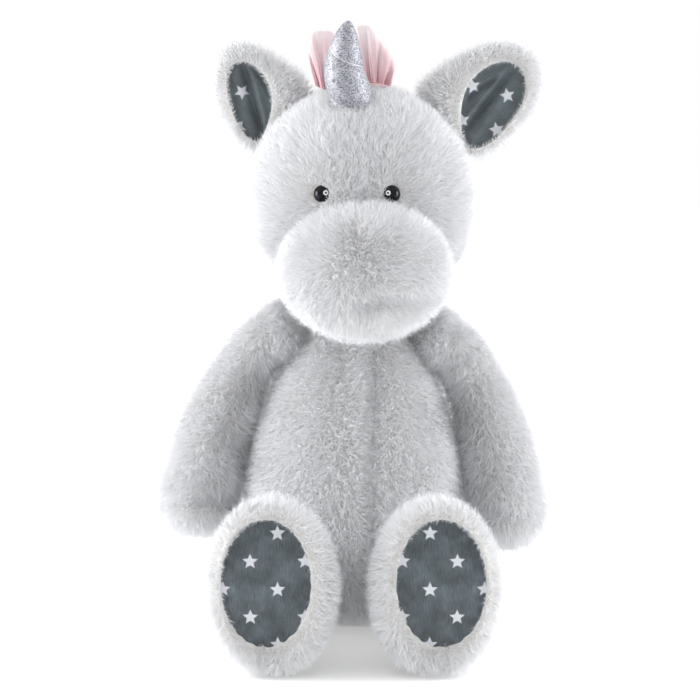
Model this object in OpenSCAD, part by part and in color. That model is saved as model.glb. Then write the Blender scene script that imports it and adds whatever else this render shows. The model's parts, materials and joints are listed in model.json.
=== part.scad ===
// Seated plush unicorn. It faces -Y, its own left side is +X, and it stands on Z = 0.
// Fur fabric is drawn at its full thickness, backing and pile together.

/* [Fabric] */
// Thickness of the fur fabric, backing and pile together
pelt = 10; // [8:1:12]
// Thickness of the fur fabric's knitted backing
backing = 2; // [1:0.5:3]
// Gap kept between soft parts that move against each other
gap = 0.8; // [0.5:0.1:1.5]

/* [Torso] */
// Radius of the torso at its widest
belly_r = 75; // [70:1:78]
// Height at which the torso is widest
belly_z = 58; // [50:1:65]
// Radius of the flat disc that the torso sits on
seat_r = 44; // [38:1:48]
// Radius of the torso's top, where the head is sewn on
neck_r = 31; // [28:1:33]
// Height of the torso
torso_h = 198; // [195:1:199]
// Sideways lean of the torso
lean = 1.5; // [0:0.5:2]

/* [Head] */
// Radius of the head
head_r = 77; // [74:1:78]
// Height of the head's centre
head_z = 283; // [281:1:286]
// Sideways place of the head's centre
head_x = 8; // [4:1:10]
// Width of the muzzle
muzzle_w = 114; // [105:1:118]
// Height of the muzzle
muzzle_h = 95; // [90:1:96]
// How far the muzzle's front is from the head's centre
muzzle_front = 125; // [115:1:130]
// Diameter of the moulded eyes
eye_d = 12; // [9:0.5:14]
// Distance between the eyes
eye_gap = 49; // [44:1:54]

/* [Horn and mane] */
// Diameter of the horn at its foot
horn_d = 29; // [22:1:32]
// Turns that the thread makes round the horn
thread_turns = 2; // [1:1:3]

/* [Ears] */
// Length of an ear from its fold
ear_len = 56; // [48:1:60]
// Width of an ear
ear_w = 58; // [48:1:60]
// Tilt of the right ear away from upright
right_ear_tilt = 23; // [15:1:30]
// Tilt of the left ear away from upright
left_ear_tilt = 50; // [35:1:55]

/* [Arms] */
// Length from the shoulder's centre to the hand's centre
arm_len = 127; // [115:1:130]
// Radius of the hand
hand_r = 29; // [26:1:30]
// Radius of the shoulder
shoulder_r = 23; // [21:1:24]
// Angle of the right arm from the vertical
right_arm_angle = 28; // [27:0.5:34]
// Angle of the left arm from the vertical
left_arm_angle = 23; // [22:0.5:28]

/* [Legs] */
// Width of a foot
foot_w = 82; // [74:1:84]
// Height of a foot
foot_h = 114; // [100:1:116]
// How far the soles are in front of the torso's centre
sole_y = 188; // [180:1:192]
// Radius of the hip
hip_r = 30; // [27:1:31]
// Width of the printed sole
sole_w = 52; // [44:1:56]
// Height of the printed sole
sole_h = 75; // [66:1:80]

/* [Hidden] */

$fn = 64;
LEFT = 1;
RIGHT = -1;
big = 1000;                                 // larger than anything here, for cutting

fur = "white";
print_grey = "slategray";
filling = "ghostwhite";
net = "pink";
glitter = "silver";
thread_white = "whitesmoke";

// The torso's centre line is at Y = 0 while the parts are drawn, and the toy is then moved so
// that the origin is under the middle of its bounding box.
rim = 7;                                    // how far the foot's fur stands past the sole
toy_shift = [0, (sole_y + rim - head_r) / 2, 0];

head_at = [head_x, 0, head_z];
muzzle_x = head_x + 1.5;
muzzle_z = 239.5;
muzzle_d = 114;
muzzle_y = muzzle_d / 2 - muzzle_front;
eye_middle_x = 4;
eye_z = 289;
gusset_w = 26;
neck_x = head_x;
neck_ring = 1.2;                            // half the thickness of the neck's ring of stitches
neck_ring_r = 22;
neck_ring_lift = 1;                         // clears the leaning top of the torso
washer_r = 8;
washer_t = 1.6;
shank_r = 2.2;

horn_foot = [1.3, -35, 350.5];              // where the horn's axis leaves the fur
horn_top = [-3.5, -50, 399];
horn_sunk = 7;
horn_skin = 1.2;
horn_tip_r = 2;
thread_r = 0.7;

ear_t = 14;
ear_root = 6;                               // half the thickness at the ear's base
lining_t = 3;

shoulder_at = [[-45, 0, 192], [58, 0, 188]];  // right, left
hip_at = [[-43, -42, 36], [46, -42, 36]];     // right, left
foot_x = [-47.5, 52];                         // right, left
seam_t = 0.8;                               // thickness of a ring of closing stitches
seam_w = 7;                                 // width of that ring
shoulder_seam_in = 6;                       // how far inside the limb's centre the ring starts
hip_seam_in = 8;
leg_seam_z = 34;                            // height of the seam along a leg
hip_freedom = 24;                           // angle that a leg may move away from rest

function pick(side, pair) = side == RIGHT ? pair[0] : pair[1];

// Points on a cubic Bezier curve, both ends included.
function bezier(a, b, c, d, steps) = [for (i = [0:steps]) let (t = i / steps, u = 1 - t)
    u * u * u * a + 3 * u * u * t * b + 3 * u * t * t * c + t * t * t * d];

// Rings along Z from a list of [z, offset along X, half width in X, half width in Y].
function ring_points(rings, sides) = [for (r = rings, i = [0:sides - 1])
    let (a = 360 * (i + 0.5) / sides) [r[1] + r[2] * cos(a), r[3] * sin(a), r[0]]];
function ring_walls(count, sides) = [for (k = [0:count - 2], i = [0:sides - 1])
    let (j = (i + 1) % sides, p = k * sides, q = p + sides) [p + i, q + i, q + j, p + j]];

// A closed solid through those rings, with a flat cap at each end.
module loft(rings, sides = 18) {
    last = (len(rings) - 1) * sides;
    caps = [[for (i = [0:sides - 1]) i], [for (i = [sides - 1:-1:0]) last + i]];
    polyhedron(ring_points(rings, sides), concat(ring_walls(len(rings), sides), caps), 4);
}

// Rings of a half ellipsoid that starts at a ring and closes in the given direction.
function dome(z, offset, rx, ry, depth, steps = 4) = [for (i = [1:steps])
    let (a = 84 * i / steps) [z + depth * sin(a), offset, rx * cos(a), ry * cos(a)]];
function flip_order(list) = [for (i = [len(list) - 1:-1:0]) list[i]];

module place() translate(toy_shift) children();

// Turns +Z towards a point seen from the origin.
module aim(v) rotate([0, acos(v[2] / norm(v)), atan2(v[1], v[0])]) children();

// A frustum between two points.
module taper(a, b, ra, rb) translate(a) aim(b - a) cylinder(h = norm(b - a), r1 = ra, r2 = rb);

module half_x(side, x = 0) translate([x + side * big / 2, 0, 0]) cube(big, center = true);

// ---- Torso ----

function torso_profile(inset) = let (
    low = inset, high = torso_h - inset,
    foot = [seat_r - inset * 0.6, low], belly = [belly_r - inset, belly_z],
    neck = [neck_r - inset * 0.6, high])
    concat([[0, low]],
        bezier(foot, foot + [21, 0], belly - [0, 30], belly, 7),
        [for (p = bezier(belly, belly + [0, 43], neck + [31, -43], neck, 9)) if (p[1] > belly_z) p],
        [[0, high]]);

module torso_form(inset = 0) rotate([0, lean, 0])
    rotate_extrude() polygon(torso_profile(inset));

// Everything that the limbs and the head need free in the torso.
module torso_pockets() {
    for (side = [LEFT, RIGHT]) {
        translate(pick(side, shoulder_at)) sphere(r = shoulder_r + 2 * gap + seam_t);
        translate(pick(side, hip_at)) hip_pocket(side);
    }
}

// A leg turns in a ball, and leaves it through a cone that is cut off on the inner side, where the
// leg has little room to move. The cone is a little wider than the ball, so that they cross cleanly.
inward_freedom = 3.5;
pocket_reach = 90;
pocket_step = 0.6;
module hip_pocket(side) {
    r = hip_r + 2 * gap + seam_t;
    behind = r * sin(hip_freedom);
    start_r = r * cos(hip_freedom) + pocket_step;
    sphere(r = r);
    intersection() {
        rotate([90, 0, 0]) translate([0, 0, -behind])
            cylinder(h = pocket_reach, r1 = start_r, r2 = start_r + pocket_reach * tan(hip_freedom));
        rotate([0, 0, side * inward_freedom]) half_x(side, -side * (r + pocket_step));
    }
}

module above_floor() translate([-big / 2, -big / 2, 0]) cube(big);

base_top = 20;                              // height up to which the base panel reaches
front_seam_x = 11;
back_seam_x = 4;
module torso_skin() difference() {
    intersection() {
        torso_form();
        above_floor();
    }
    torso_form(pelt);
    torso_pockets();
}

module torso_panel(side, front) color(fur) place() intersection() {
    torso_skin();
    half_x(side, front < 0 ? front_seam_x : back_seam_x);
    translate([-big / 2, front < 0 ? -big : 0, base_top]) cube(big);
}

module torso_front_left() torso_panel(LEFT, -1);
module torso_front_right() torso_panel(RIGHT, -1);
module torso_back_left() torso_panel(LEFT, 1);
module torso_back_right() torso_panel(RIGHT, 1);

module torso_base() color(fur) place() intersection() {
    torso_skin();
    translate([-big / 2, -big / 2, 0]) cube([big, big, base_top]);
}

pouch_r = 34;
pouch_h = 30;
pouch_z = pelt + 3;
pouch_y = 14;
module pouch_form(inset = 0) translate([2, pouch_y, pouch_z + inset]) rotate_extrude()
    polygon(concat([[0, 0]],
        bezier([pouch_r * 0.7 - inset, 0], [pouch_r * 1.1 - inset, 0],
               [pouch_r * 1.1 - inset, pouch_h - 2 * inset], [pouch_r * 0.6 - inset, pouch_h - 2 * inset], 8),
        [[0, pouch_h - 2 * inset]]));

module torso_stuffing() color(filling) place() difference() {
    torso_form(pelt);
    torso_pockets();
    pouch_form();
}

pouch_skin = 0.8;
module pellet_pouch() color(thread_white) place() difference() {
    pouch_form();
    pouch_form(pouch_skin);
}

module pellets() color(filling) place() pouch_form(pouch_skin);

// The head's closing stitches lie in a ring on the torso's top.
module neck_seam() color(thread_white) place()
    translate([neck_x, 0, torso_h + neck_ring_lift + neck_ring])
    rotate_extrude() translate([neck_ring_r, 0]) circle(r = neck_ring);

// ---- Head ----

// The ball's poles point sideways, so that the panels' seams are its parallels.
module head_form(inset = 0) translate(head_at) rotate([0, 90, 0]) sphere(r = head_r - inset);

module muzzle_form(inset = 0) {
    rx = muzzle_w / 2 - inset;
    rz = muzzle_h / 2 - inset;
    ry = muzzle_d / 2 - inset;
    translate([muzzle_x, muzzle_y, muzzle_z]) rotate([90, 0, 0])
        loft(concat(flip_order(dome(0, 0, rx, rz, -ry, 5)), [[0, 0, rx, rz]],
                    dome(0, 0, rx, rz, ry, 5)), 24);
}

module horn_form(grow = 0) {
    foot = horn_foot - (horn_top - horn_foot) / norm(horn_top - horn_foot) * horn_sunk;
    taper(foot, horn_top, horn_d / 2 * 1.1 + grow, horn_tip_r + grow);
}

function eye_at(side) = let (
    x = eye_middle_x + side * eye_gap / 2 - head_x, z = eye_z - head_z,
    y = -sqrt(head_r * head_r - x * x - z * z)) [x, y, z];

module eye_frame(side) translate(head_at) aim(eye_at(side)) children();

eye_seat = head_r - pelt + backing;         // distance of the eye's back from the head's centre
module eye_pocket(side) eye_frame(side) {
    translate([0, 0, eye_seat - 0.2]) cylinder(h = pelt + 2, r = eye_d / 2 + 0.3);
    translate([0, 0, head_r - pelt - 8]) cylinder(h = 10, r = shank_r + 0.1);
}

module head_skin() difference() {
    head_form();
    head_form(pelt);
    muzzle_form(0.05);
    horn_form();
    for (side = [LEFT, RIGHT]) eye_pocket(side);
}

module head_side(side) color(fur) place() intersection() {
    head_skin();
    half_x(side, eye_middle_x + side * gusset_w / 2);
}

module head_left_panel() head_side(LEFT);
module head_right_panel() head_side(RIGHT);

module head_gusset() color(fur) place() intersection() {
    head_skin();
    translate([eye_middle_x - gusset_w / 2, -big / 2, 0]) cube([gusset_w, big, big]);
}

chin_z = 213;
module muzzle_skin() difference() {
    muzzle_form();
    muzzle_form(pelt);
    head_form(0.05);
}

module muzzle_top() color(fur) place() intersection() {
    muzzle_skin();
    translate([-big / 2, -big / 2, chin_z]) cube(big);
}

module chin() color(fur) place() intersection() {
    muzzle_skin();
    translate([-big / 2, -big / 2, chin_z - big]) cube(big);
}

module head_stuffing() color(filling) place() difference() {
    head_form(pelt);
    muzzle_form(0.1);
    horn_form();
    for (side = [LEFT, RIGHT]) eye_frame(side) translate([0, 0, head_r - pelt - 8])
        cylinder(h = 10, r = washer_r + 0.3);
}

module eye(side) color("black") place() eye_frame(side) {
    dome_r = eye_d / 2;
    translate([0, 0, eye_seat]) intersection() {
        cylinder(h = eye_d, r = dome_r);
        sphere(r = dome_r);
    }
    translate([0, 0, head_r - pelt - 6]) cylinder(h = backing + 6, r = shank_r);
}

module left_eye() eye(LEFT);
module right_eye() eye(RIGHT);

module eye_washer(side) color("dimgray") place() eye_frame(side)
    translate([0, 0, head_r - pelt - washer_t - 0.5]) difference() {
        cylinder(h = washer_t, r = washer_r);
        translate([0, 0, -1]) cylinder(h = washer_t + 2, r = shank_r);
    }

module left_eye_washer() eye_washer(LEFT);
module right_eye_washer() eye_washer(RIGHT);

// ---- Horn and mane ----

module horn_cover() color(glitter) place() difference() {
    horn_form();
    horn_form(-horn_skin);
}

module horn_core() color(filling) place() horn_form(-horn_skin);

// The thread climbs the horn as a helix that follows its taper.
horn_dir = (horn_top - horn_foot) / norm(horn_top - horn_foot);
function horn_r(s) = horn_d / 2 * 1.1
    + (horn_tip_r - horn_d / 2 * 1.1) * (s + horn_sunk) / (norm(horn_top - horn_foot) + horn_sunk);
thread_steps = 20;                          // rings in each turn
thread_sides = 6;
function thread_ring(k) = let (
    n = thread_steps * thread_turns, s = 8 + 26 * k / n, a = 360 * k / thread_steps,
    r = horn_r(s) + thread_r + 0.15)
    [for (i = [0:thread_sides - 1]) let (b = 360 * i / thread_sides)
        [(r + thread_r * cos(b)) * cos(a), (r + thread_r * cos(b)) * sin(a), s + thread_r * sin(b)]];

module horn_thread() color(thread_white) place() {
    n = thread_steps * thread_turns;
    last = n * thread_sides;
    rings = [for (k = [0:n]) each thread_ring(k)];
    caps = [[for (i = [0:thread_sides - 1]) i], [for (i = [thread_sides - 1:-1:0]) last + i]];
    translate(horn_foot) aim(horn_dir)
        polyhedron(rings, concat(ring_walls(n + 1, thread_sides), caps), 4);
}

tape_t = 1;
module mane_tape() color(net) place() intersection() {
    difference() {
        head_form(-tape_t);
        head_form();
    }
    translate([-14, -16, head_z]) cube([38, 12, big]);
}

// A gathered lobe of net is narrow where it is sewn on and full above.
module mane_lobe(foot, angle, height, rx, ry) color(net) place() difference() {
    translate(foot) rotate([0, angle, 0])
        loft(concat([[-4, 0, rx * 0.75, ry * 0.7], [height * 0.35, 0, rx, ry],
                     [height * 0.62, 0, rx, ry]],
                    dome(height * 0.62, 0, rx, ry, height * 0.38, 3)), 14);
    head_form(-tape_t);
    horn_form(0.3);
}

module mane_right_lobe() mane_lobe([-14, -9, 354], -12, 41, 11, 13);
module mane_left_lobe() mane_lobe([15, -9, 357], 2, 41, 14, 13);

// ---- Ears ----

ear_spread = [-46, 50];                     // right, left: angle of the ear's root round the head
ear_out = head_r + ear_root + 4;            // distance of the ear's fold line from the head's centre
function ear_root_at(side) = let (a = pick(side, ear_spread))
    head_at + ear_out * [sin(a), 0, cos(a)];
function ear_tilt(side) = side == RIGHT ? -right_ear_tilt : left_ear_tilt;

module ear_frame(side) translate(ear_root_at(side)) rotate([0, ear_tilt(side), 0]) children();

module ear_form(w, t, len, root) {
    half = t / 2;
    loft(concat(
        [[-root * 0.95, 0, w * 0.18, root * 0.3], [-root * 0.6, 0, w * 0.24, root * 0.75],
         [0, 0, w * 0.31, root], [len * 0.18, 0, w * 0.44, half], [len * 0.42, 0, w * 0.5, half]],
        dome(len * 0.42, 0, w * 0.5, half, len * 0.58)), 16);
}

lining_place = [0, -ear_t / 2 + lining_t / 2 - 0.5, 7];
module lining_form(grow = 0) translate(lining_place)
    ear_form(ear_w * 0.74 + 2 * grow, lining_t + 2 * grow, ear_len * 0.8 + grow, lining_t / 2 + grow);

module ear_back(side) color(fur) place() ear_frame(side) difference() {
    ear_form(ear_w, ear_t, ear_len, ear_root);
    lining_form(0.1);
}

module ear_lining(side) color(print_grey) place() ear_frame(side) lining_form();

module left_ear_back() ear_back(LEFT);
module left_ear_lining() ear_lining(LEFT);
module right_ear_back() ear_back(RIGHT);
module right_ear_lining() ear_lining(RIGHT);

// ---- Arms ----

// The arm hangs along -Z from its shoulder and bows outwards, away from the torso.
function arm_bow(s) = 13.5 * sin(180 * pow(s / arm_len, 0.65));
function arm_r(s) = let (waist = arm_len * 0.28)
    s < waist ? shoulder_r - 2.5 * sin(90 * s / waist)
              : shoulder_r - 2.5 + (hand_r - shoulder_r + 2.5) * sin(90 * (s - waist) / (arm_len - waist));
arm_stations = 8;
function arm_rings(inset) = concat(
    [for (i = [4:-1:1]) let (a = 84 * i / 4, r = shoulder_r - inset)
        [r * sin(a), 0, r * cos(a), r * cos(a)]],
    [for (k = [0:arm_stations]) let (s = arm_len * k / arm_stations)
        [-s, arm_bow(s), arm_r(s) - inset, arm_r(s) - inset]],
    dome(-arm_len, 0, hand_r - inset, hand_r - inset, inset - hand_r));

module arm_frame(side) translate(pick(side, shoulder_at))
    rotate([0, side == RIGHT ? right_arm_angle : -left_arm_angle, 0]) mirror([side == RIGHT ? 1 : 0, 0, 0])
    children();

module arm_form(side, inset = 0) arm_frame(side) loft(flip_order(arm_rings(inset)));

// The seam between the panels runs down the arm, so that each panel covers half of it.
module arm_panel(side, outer) color(fur) place() intersection() {
    difference() {
        arm_form(side);
        arm_form(side, pelt);
    }
    arm_frame(side) rotate([0, 0, -25]) translate([outer ? big / 2 + 3 : 3 - big / 2, 0, 0])
        cube(big, center = true);
}

module arm_stuffing(side) color(filling) place() arm_form(side, pelt);

// A band of closing stitches along +X, round the ball that a limb turns on.
band_steps = 4;
module seam_band(r, from) {
    near = r + gap;
    first = asin(from / near);
    last = asin((from + seam_w) / near);
    arc = [for (i = [0:band_steps]) first + (last - first) * i / band_steps];
    rotate([0, 90, 0]) rotate_extrude() polygon(concat(
        [for (a = arc) near * [cos(a), sin(a)]],
        [for (a = flip_order(arc)) (near + seam_t) * [cos(a), sin(a)]]));
}

module shoulder_seam(side) color(thread_white) place() translate(pick(side, shoulder_at))
    mirror([side == RIGHT ? 0 : 1, 0, 0]) seam_band(shoulder_r, shoulder_seam_in);

module left_shoulder_seam() shoulder_seam(LEFT);
module left_arm_outer() arm_panel(LEFT, true);
module left_arm_inner() arm_panel(LEFT, false);
module left_arm_stuffing() arm_stuffing(LEFT);
module right_shoulder_seam() shoulder_seam(RIGHT);
module right_arm_outer() arm_panel(RIGHT, true);
module right_arm_inner() arm_panel(RIGHT, false);
module right_arm_stuffing() arm_stuffing(RIGHT);

// ---- Legs ----

// Stations from the hip to the sole: share of the way, rise of the centre, half width, half height.
leg_stations = [[0, 0, 1, 1], [0.3, -0.02, 1, 0.98], [0.55, 0.0, 1.05, 1.05], [0.72, 0.10, 1.17, 1.3],
                [0.84, 0.35, 1.3, 1.62], [0.93, 0.6, 1.367, 1.86]];
function leg_rings(side, inset) = let (
    hip = pick(side, hip_at), run = sole_y + hip[1], across = pick(side, foot_x) - hip[0],
    rise = foot_h / 2 - hip[2], rz = foot_h / 2 - inset, rx = foot_w / 2 - inset)
    concat(
        [for (i = [4:-1:1]) let (a = 84 * i / 4, r = hip_r - inset)
            [-r * sin(a), 0, 0, r * cos(a), r * cos(a)]],
        [for (s = leg_stations) [run * s[0], across * s[0], (hip_r * (s[3] - 1)
            + (s[1] < 0 ? -0.6 : 0)) * (rise / (foot_h / 2 - hip_r)),
            hip_r * s[2] - inset, hip_r * s[3] - inset]],
        [for (i = [1:4]) let (a = 21 * i, deep = run * 0.07 + rim - inset)
            [run * 0.93 + deep * sin(a), across, rise, rx * pow(cos(a), 0.45), rz * pow(cos(a), 0.45)]]);

function leg_points(rings, sides) = [for (r = rings, i = [0:sides - 1])
    let (a = 360 * (i + 0.5) / sides) [r[1] + r[3] * cos(a), -r[0], r[2] + r[4] * sin(a)]];

module leg_form(side, inset = 0) {
    sides = 20;
    rings = leg_rings(side, inset);
    last = (len(rings) - 1) * sides;
    caps = [[for (i = [0:sides - 1]) i], [for (i = [sides - 1:-1:0]) last + i]];
    translate(pick(side, hip_at))
        polyhedron(leg_points(rings, sides), concat(ring_walls(len(rings), sides), caps), 4);
}

sole_t = 4;
module sole_form(side, grow = 0) translate([pick(side, foot_x) + side * 3.5, -sole_y, foot_h / 2 + 1.5])
    rotate([90, 0, 0]) translate([0, 0, -sole_t - grow])
    loft([for (z = [0, sole_t + grow]) [z, 0, sole_w / 2 + grow, sole_h / 2 + grow]], 28);

module sole_window(side) hull() for (deep = [0, rim + 1])
    translate([0, -deep, 0]) sole_form(side, 0.1 + deep * 0.2);

module leg_panel(side, top) color(fur) place() intersection() {
    difference() {
        leg_form(side);
        leg_form(side, pelt);
        sole_window(side);
    }
    translate([-big / 2, -big / 2, top ? leg_seam_z : leg_seam_z - big]) cube(big);
}

module foot_sole(side) color(print_grey) place() sole_form(side);

module leg_stuffing(side) color(filling) place() difference() {
    leg_form(side, pelt);
    sole_window(side);
}

module hip_seam(side) color(thread_white) place() translate(pick(side, hip_at))
    rotate([0, 0, 90]) seam_band(hip_r, hip_seam_in);

module left_hip_seam() hip_seam(LEFT);
module left_leg_top() leg_panel(LEFT, true);
module left_leg_bottom() leg_panel(LEFT, false);
module left_foot_sole() foot_sole(LEFT);
module left_leg_stuffing() leg_stuffing(LEFT);
module right_hip_seam() hip_seam(RIGHT);
module right_leg_top() leg_panel(RIGHT, true);
module right_leg_bottom() leg_panel(RIGHT, false);
module right_foot_sole() foot_sole(RIGHT);
module right_leg_stuffing() leg_stuffing(RIGHT);

torso_front_left();
torso_front_right();
torso_back_left();
torso_back_right();
torso_base();
torso_stuffing();
pellet_pouch();
pellets();
neck_seam();
head_left_panel();
head_right_panel();
head_gusset();
muzzle_top();
chin();
head_stuffing();
left_eye();
right_eye();
left_eye_washer();
right_eye_washer();
horn_cover();
horn_core();
horn_thread();
mane_tape();
mane_left_lobe();
mane_right_lobe();
left_ear_back();
left_ear_lining();
right_ear_back();
right_ear_lining();
left_shoulder_seam();
left_arm_outer();
left_arm_inner();
left_arm_stuffing();
right_shoulder_seam();
right_arm_outer();
right_arm_inner();
right_arm_stuffing();
left_hip_seam();
left_leg_top();
left_leg_bottom();
left_foot_sole();
left_leg_stuffing();
right_hip_seam();
right_leg_top();
right_leg_bottom();
right_foot_sole();
right_leg_stuffing();
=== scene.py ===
"""Plush unicorn: its stuffed skins, combed pile, printed cloth, horn, net mane and a plain studio.

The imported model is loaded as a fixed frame. Every soft piece is worked out here as a numpy surface
inside the space that its solids hold, and rides on the same body as they do. Lengths are in metres
unless a name says otherwise, and a value times MM is in millimetres.
"""

import json
import logging
import math
from dataclasses import dataclass, field, replace
from enum import Enum
from typing import Callable, Sequence

import bpy
import numpy as np
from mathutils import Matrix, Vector


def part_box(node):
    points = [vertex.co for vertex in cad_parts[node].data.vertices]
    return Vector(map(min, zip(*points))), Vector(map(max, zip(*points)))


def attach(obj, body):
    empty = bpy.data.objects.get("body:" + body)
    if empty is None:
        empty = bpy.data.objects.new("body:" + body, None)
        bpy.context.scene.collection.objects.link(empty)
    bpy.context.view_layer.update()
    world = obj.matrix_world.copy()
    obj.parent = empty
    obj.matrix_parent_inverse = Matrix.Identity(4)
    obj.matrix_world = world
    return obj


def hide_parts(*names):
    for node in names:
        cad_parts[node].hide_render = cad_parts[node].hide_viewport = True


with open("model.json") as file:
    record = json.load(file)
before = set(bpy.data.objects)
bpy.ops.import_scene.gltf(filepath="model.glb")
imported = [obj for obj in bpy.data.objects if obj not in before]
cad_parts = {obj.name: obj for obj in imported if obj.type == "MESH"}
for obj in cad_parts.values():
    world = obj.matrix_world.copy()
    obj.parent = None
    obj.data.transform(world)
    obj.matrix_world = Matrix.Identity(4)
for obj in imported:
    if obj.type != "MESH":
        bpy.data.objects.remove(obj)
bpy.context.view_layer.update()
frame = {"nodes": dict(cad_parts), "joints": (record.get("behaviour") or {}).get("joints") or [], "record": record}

MM = 0.001
log = logging.getLogger("unicorn")

Array = np.ndarray
Mask = Callable[[Array], Array]


class Side(Enum):
    """The toy's own left, along +X, or its own right."""

    LEFT = 1
    RIGHT = -1

    @property
    def word(self) -> str:
        """The side's name as node names have it."""
        return self.name.lower()


# ---- Places read from the frame ----


def node_box(*nodes: str) -> tuple[Array, Array]:
    """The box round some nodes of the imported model.

    Args:
        nodes: names of nodes.

    Returns:
        The lowest and the highest corner.
    """
    boxes = [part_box(node) for node in nodes]
    low = np.min([np.array(b[0]) for b in boxes], axis=0)
    high = np.max([np.array(b[1]) for b in boxes], axis=0)
    return low, high


def joint_place(name: str) -> Array:
    """Where a joint of the frame turns.

    Args:
        name: the joint's name.

    Returns:
        The joint's place.
    """
    joint = next(j for j in frame["joints"] if j["name"] == name)
    return np.array(joint["pos_m"], float)


# ---- Arithmetic on whole arrays ----


def unit(vectors: Array) -> Array:
    """Each row scaled to length one."""
    return vectors / np.maximum(np.linalg.norm(vectors, axis=-1, keepdims=True), 1e-12)


def across(vectors: Array, normals: Array) -> Array:
    """Each vector without its part along the normal beside it."""
    return vectors - (vectors * normals).sum(-1, keepdims=True) * normals


def ease(values: Array, low: float, high: float) -> Array:
    """A smooth step that is 0 up to low and 1 from high on."""
    t = np.clip((values - low) / (high - low), 0.0, 1.0)
    return t * t * (3.0 - 2.0 * t)


def full_turn(steps: int) -> Array:
    """Angles evenly round a full turn, without its end."""
    return np.linspace(0, 2 * math.pi, steps, endpoint=False)


def bezier(a: Array, b: Array, c: Array, d: Array, steps: int) -> Array:
    """Points on a cubic Bezier curve with both ends: the corners weighted by the cubic Bernstein terms."""
    t = np.linspace(0.0, 1.0, steps)[:, None]
    u = 1.0 - t
    return u**3 * a + 3 * u**2 * t * b + 3 * u * t**2 * c + t**3 * d


def through(at: Array, knots: Sequence[float], values: Sequence[float]) -> Array:
    """A smooth curve through given values: cubic Hermite pieces whose slopes are central differences.

    Args:
        at: where the curve is wanted.
        knots: rising places of the given values.
        values: the values there.

    Returns:
        The curve's values.
    """
    k, v = np.asarray(knots, float), np.asarray(values, float)
    slope = np.gradient(v, k)
    i = np.clip(np.searchsorted(k, at, side="right") - 1, 0, len(k) - 2)
    h = k[i + 1] - k[i]
    t = np.clip((at - k[i]) / h, 0.0, 1.0)
    return (
        (2 * t**3 - 3 * t**2 + 1) * v[i] + (t**3 - 2 * t**2 + t) * h * slope[i]
        + (3 * t**2 - 2 * t**3) * v[i + 1] + (t**3 - t**2) * h * slope[i + 1]
    )


@dataclass(frozen=True)
class Swirl:
    """Smooth noise in space: a sum of sine waves of one length in random directions.

    Attributes:
        wavelength: distance over which it changes from high to low and back.
        seed: what fixes its waves.
        waves: how many waves are added.
    """

    wavelength: float
    seed: int
    waves: int = 12

    def _waves(self) -> tuple[Array, Array]:
        """Each wave's direction times its wave number, and its phase."""
        rng = np.random.default_rng(self.seed)
        k = unit(rng.normal(size=(self.waves, 3))) * rng.uniform(0.7, 1.4, (self.waves, 1))
        return k * (2 * math.pi / self.wavelength), rng.uniform(0, 2 * math.pi, self.waves)

    def value(self, points: Array) -> Array:
        """The noise at each point, about -1 to 1."""
        k, phase = self._waves()
        return np.sin(points @ k.T + phase).sum(1) / math.sqrt(self.waves)

    def slope(self, points: Array) -> Array:
        """The noise's gradient at each point, times the wavelength over a full turn."""
        k, phase = self._waves()
        scale = self.wavelength / (2 * math.pi) / math.sqrt(self.waves)
        return np.cos(points @ k.T + phase) @ k * scale


# ---- Surfaces ----


@dataclass
class Skin:
    """A surface of quads and triangles, with what pile needs to grow on it.

    Attributes:
        points: the vertices.
        quads: faces of four corners.
        tris: faces of three corners.
        growth: how thick the pile grows at each vertex, 0 for bare cloth.
        flow: the way the pile is combed at each vertex.
        reach: the pile's length at each vertex, as a share of its usual length.
    """

    points: Array
    quads: Array
    tris: Array
    growth: Array = field(default=None)
    flow: Array = field(default=None)
    reach: Array = field(default=None)

    def __post_init__(self) -> None:
        """Fills in plain pile where nothing else is said."""
        n = len(self.points)
        self.growth = np.ones(n) if self.growth is None else self.growth
        self.reach = np.ones(n) if self.reach is None else self.reach
        self.flow = np.tile([0.0, 0.0, -1.0], (n, 1)) if self.flow is None else self.flow

    def triangles(self) -> Array:
        """Every face as triangles."""
        return np.concatenate([self.tris, self.quads[:, [0, 1, 2]], self.quads[:, [0, 2, 3]]])

    def facing(self, outward: bool) -> "Skin":
        """Turns every face over unless outward is true."""
        if not outward:
            self.quads, self.tris = self.quads[:, ::-1], self.tris[:, ::-1]
        return self

    def volume(self) -> float:
        """Six times the volume inside: the sum over the triangles of their corners' triple product."""
        a, b, c = (self.points[self.triangles()[:, i]] for i in range(3))
        return float((a * np.cross(b, c)).sum())

    def spans(self) -> Array:
        """A vector across each triangle, twice as long as its area: the cross product of two edges."""
        a, b, c = (self.points[self.triangles()[:, i]] for i in range(3))
        return np.cross(b - a, c - a)

    def normals(self) -> Array:
        """Vertex normals: the sum of the areas of the triangles that meet there."""
        tri, face = self.triangles(), self.spans()
        total = np.zeros_like(self.points)
        for i in range(3):
            np.add.at(total, tri[:, i], face)
        return unit(total)


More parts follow.
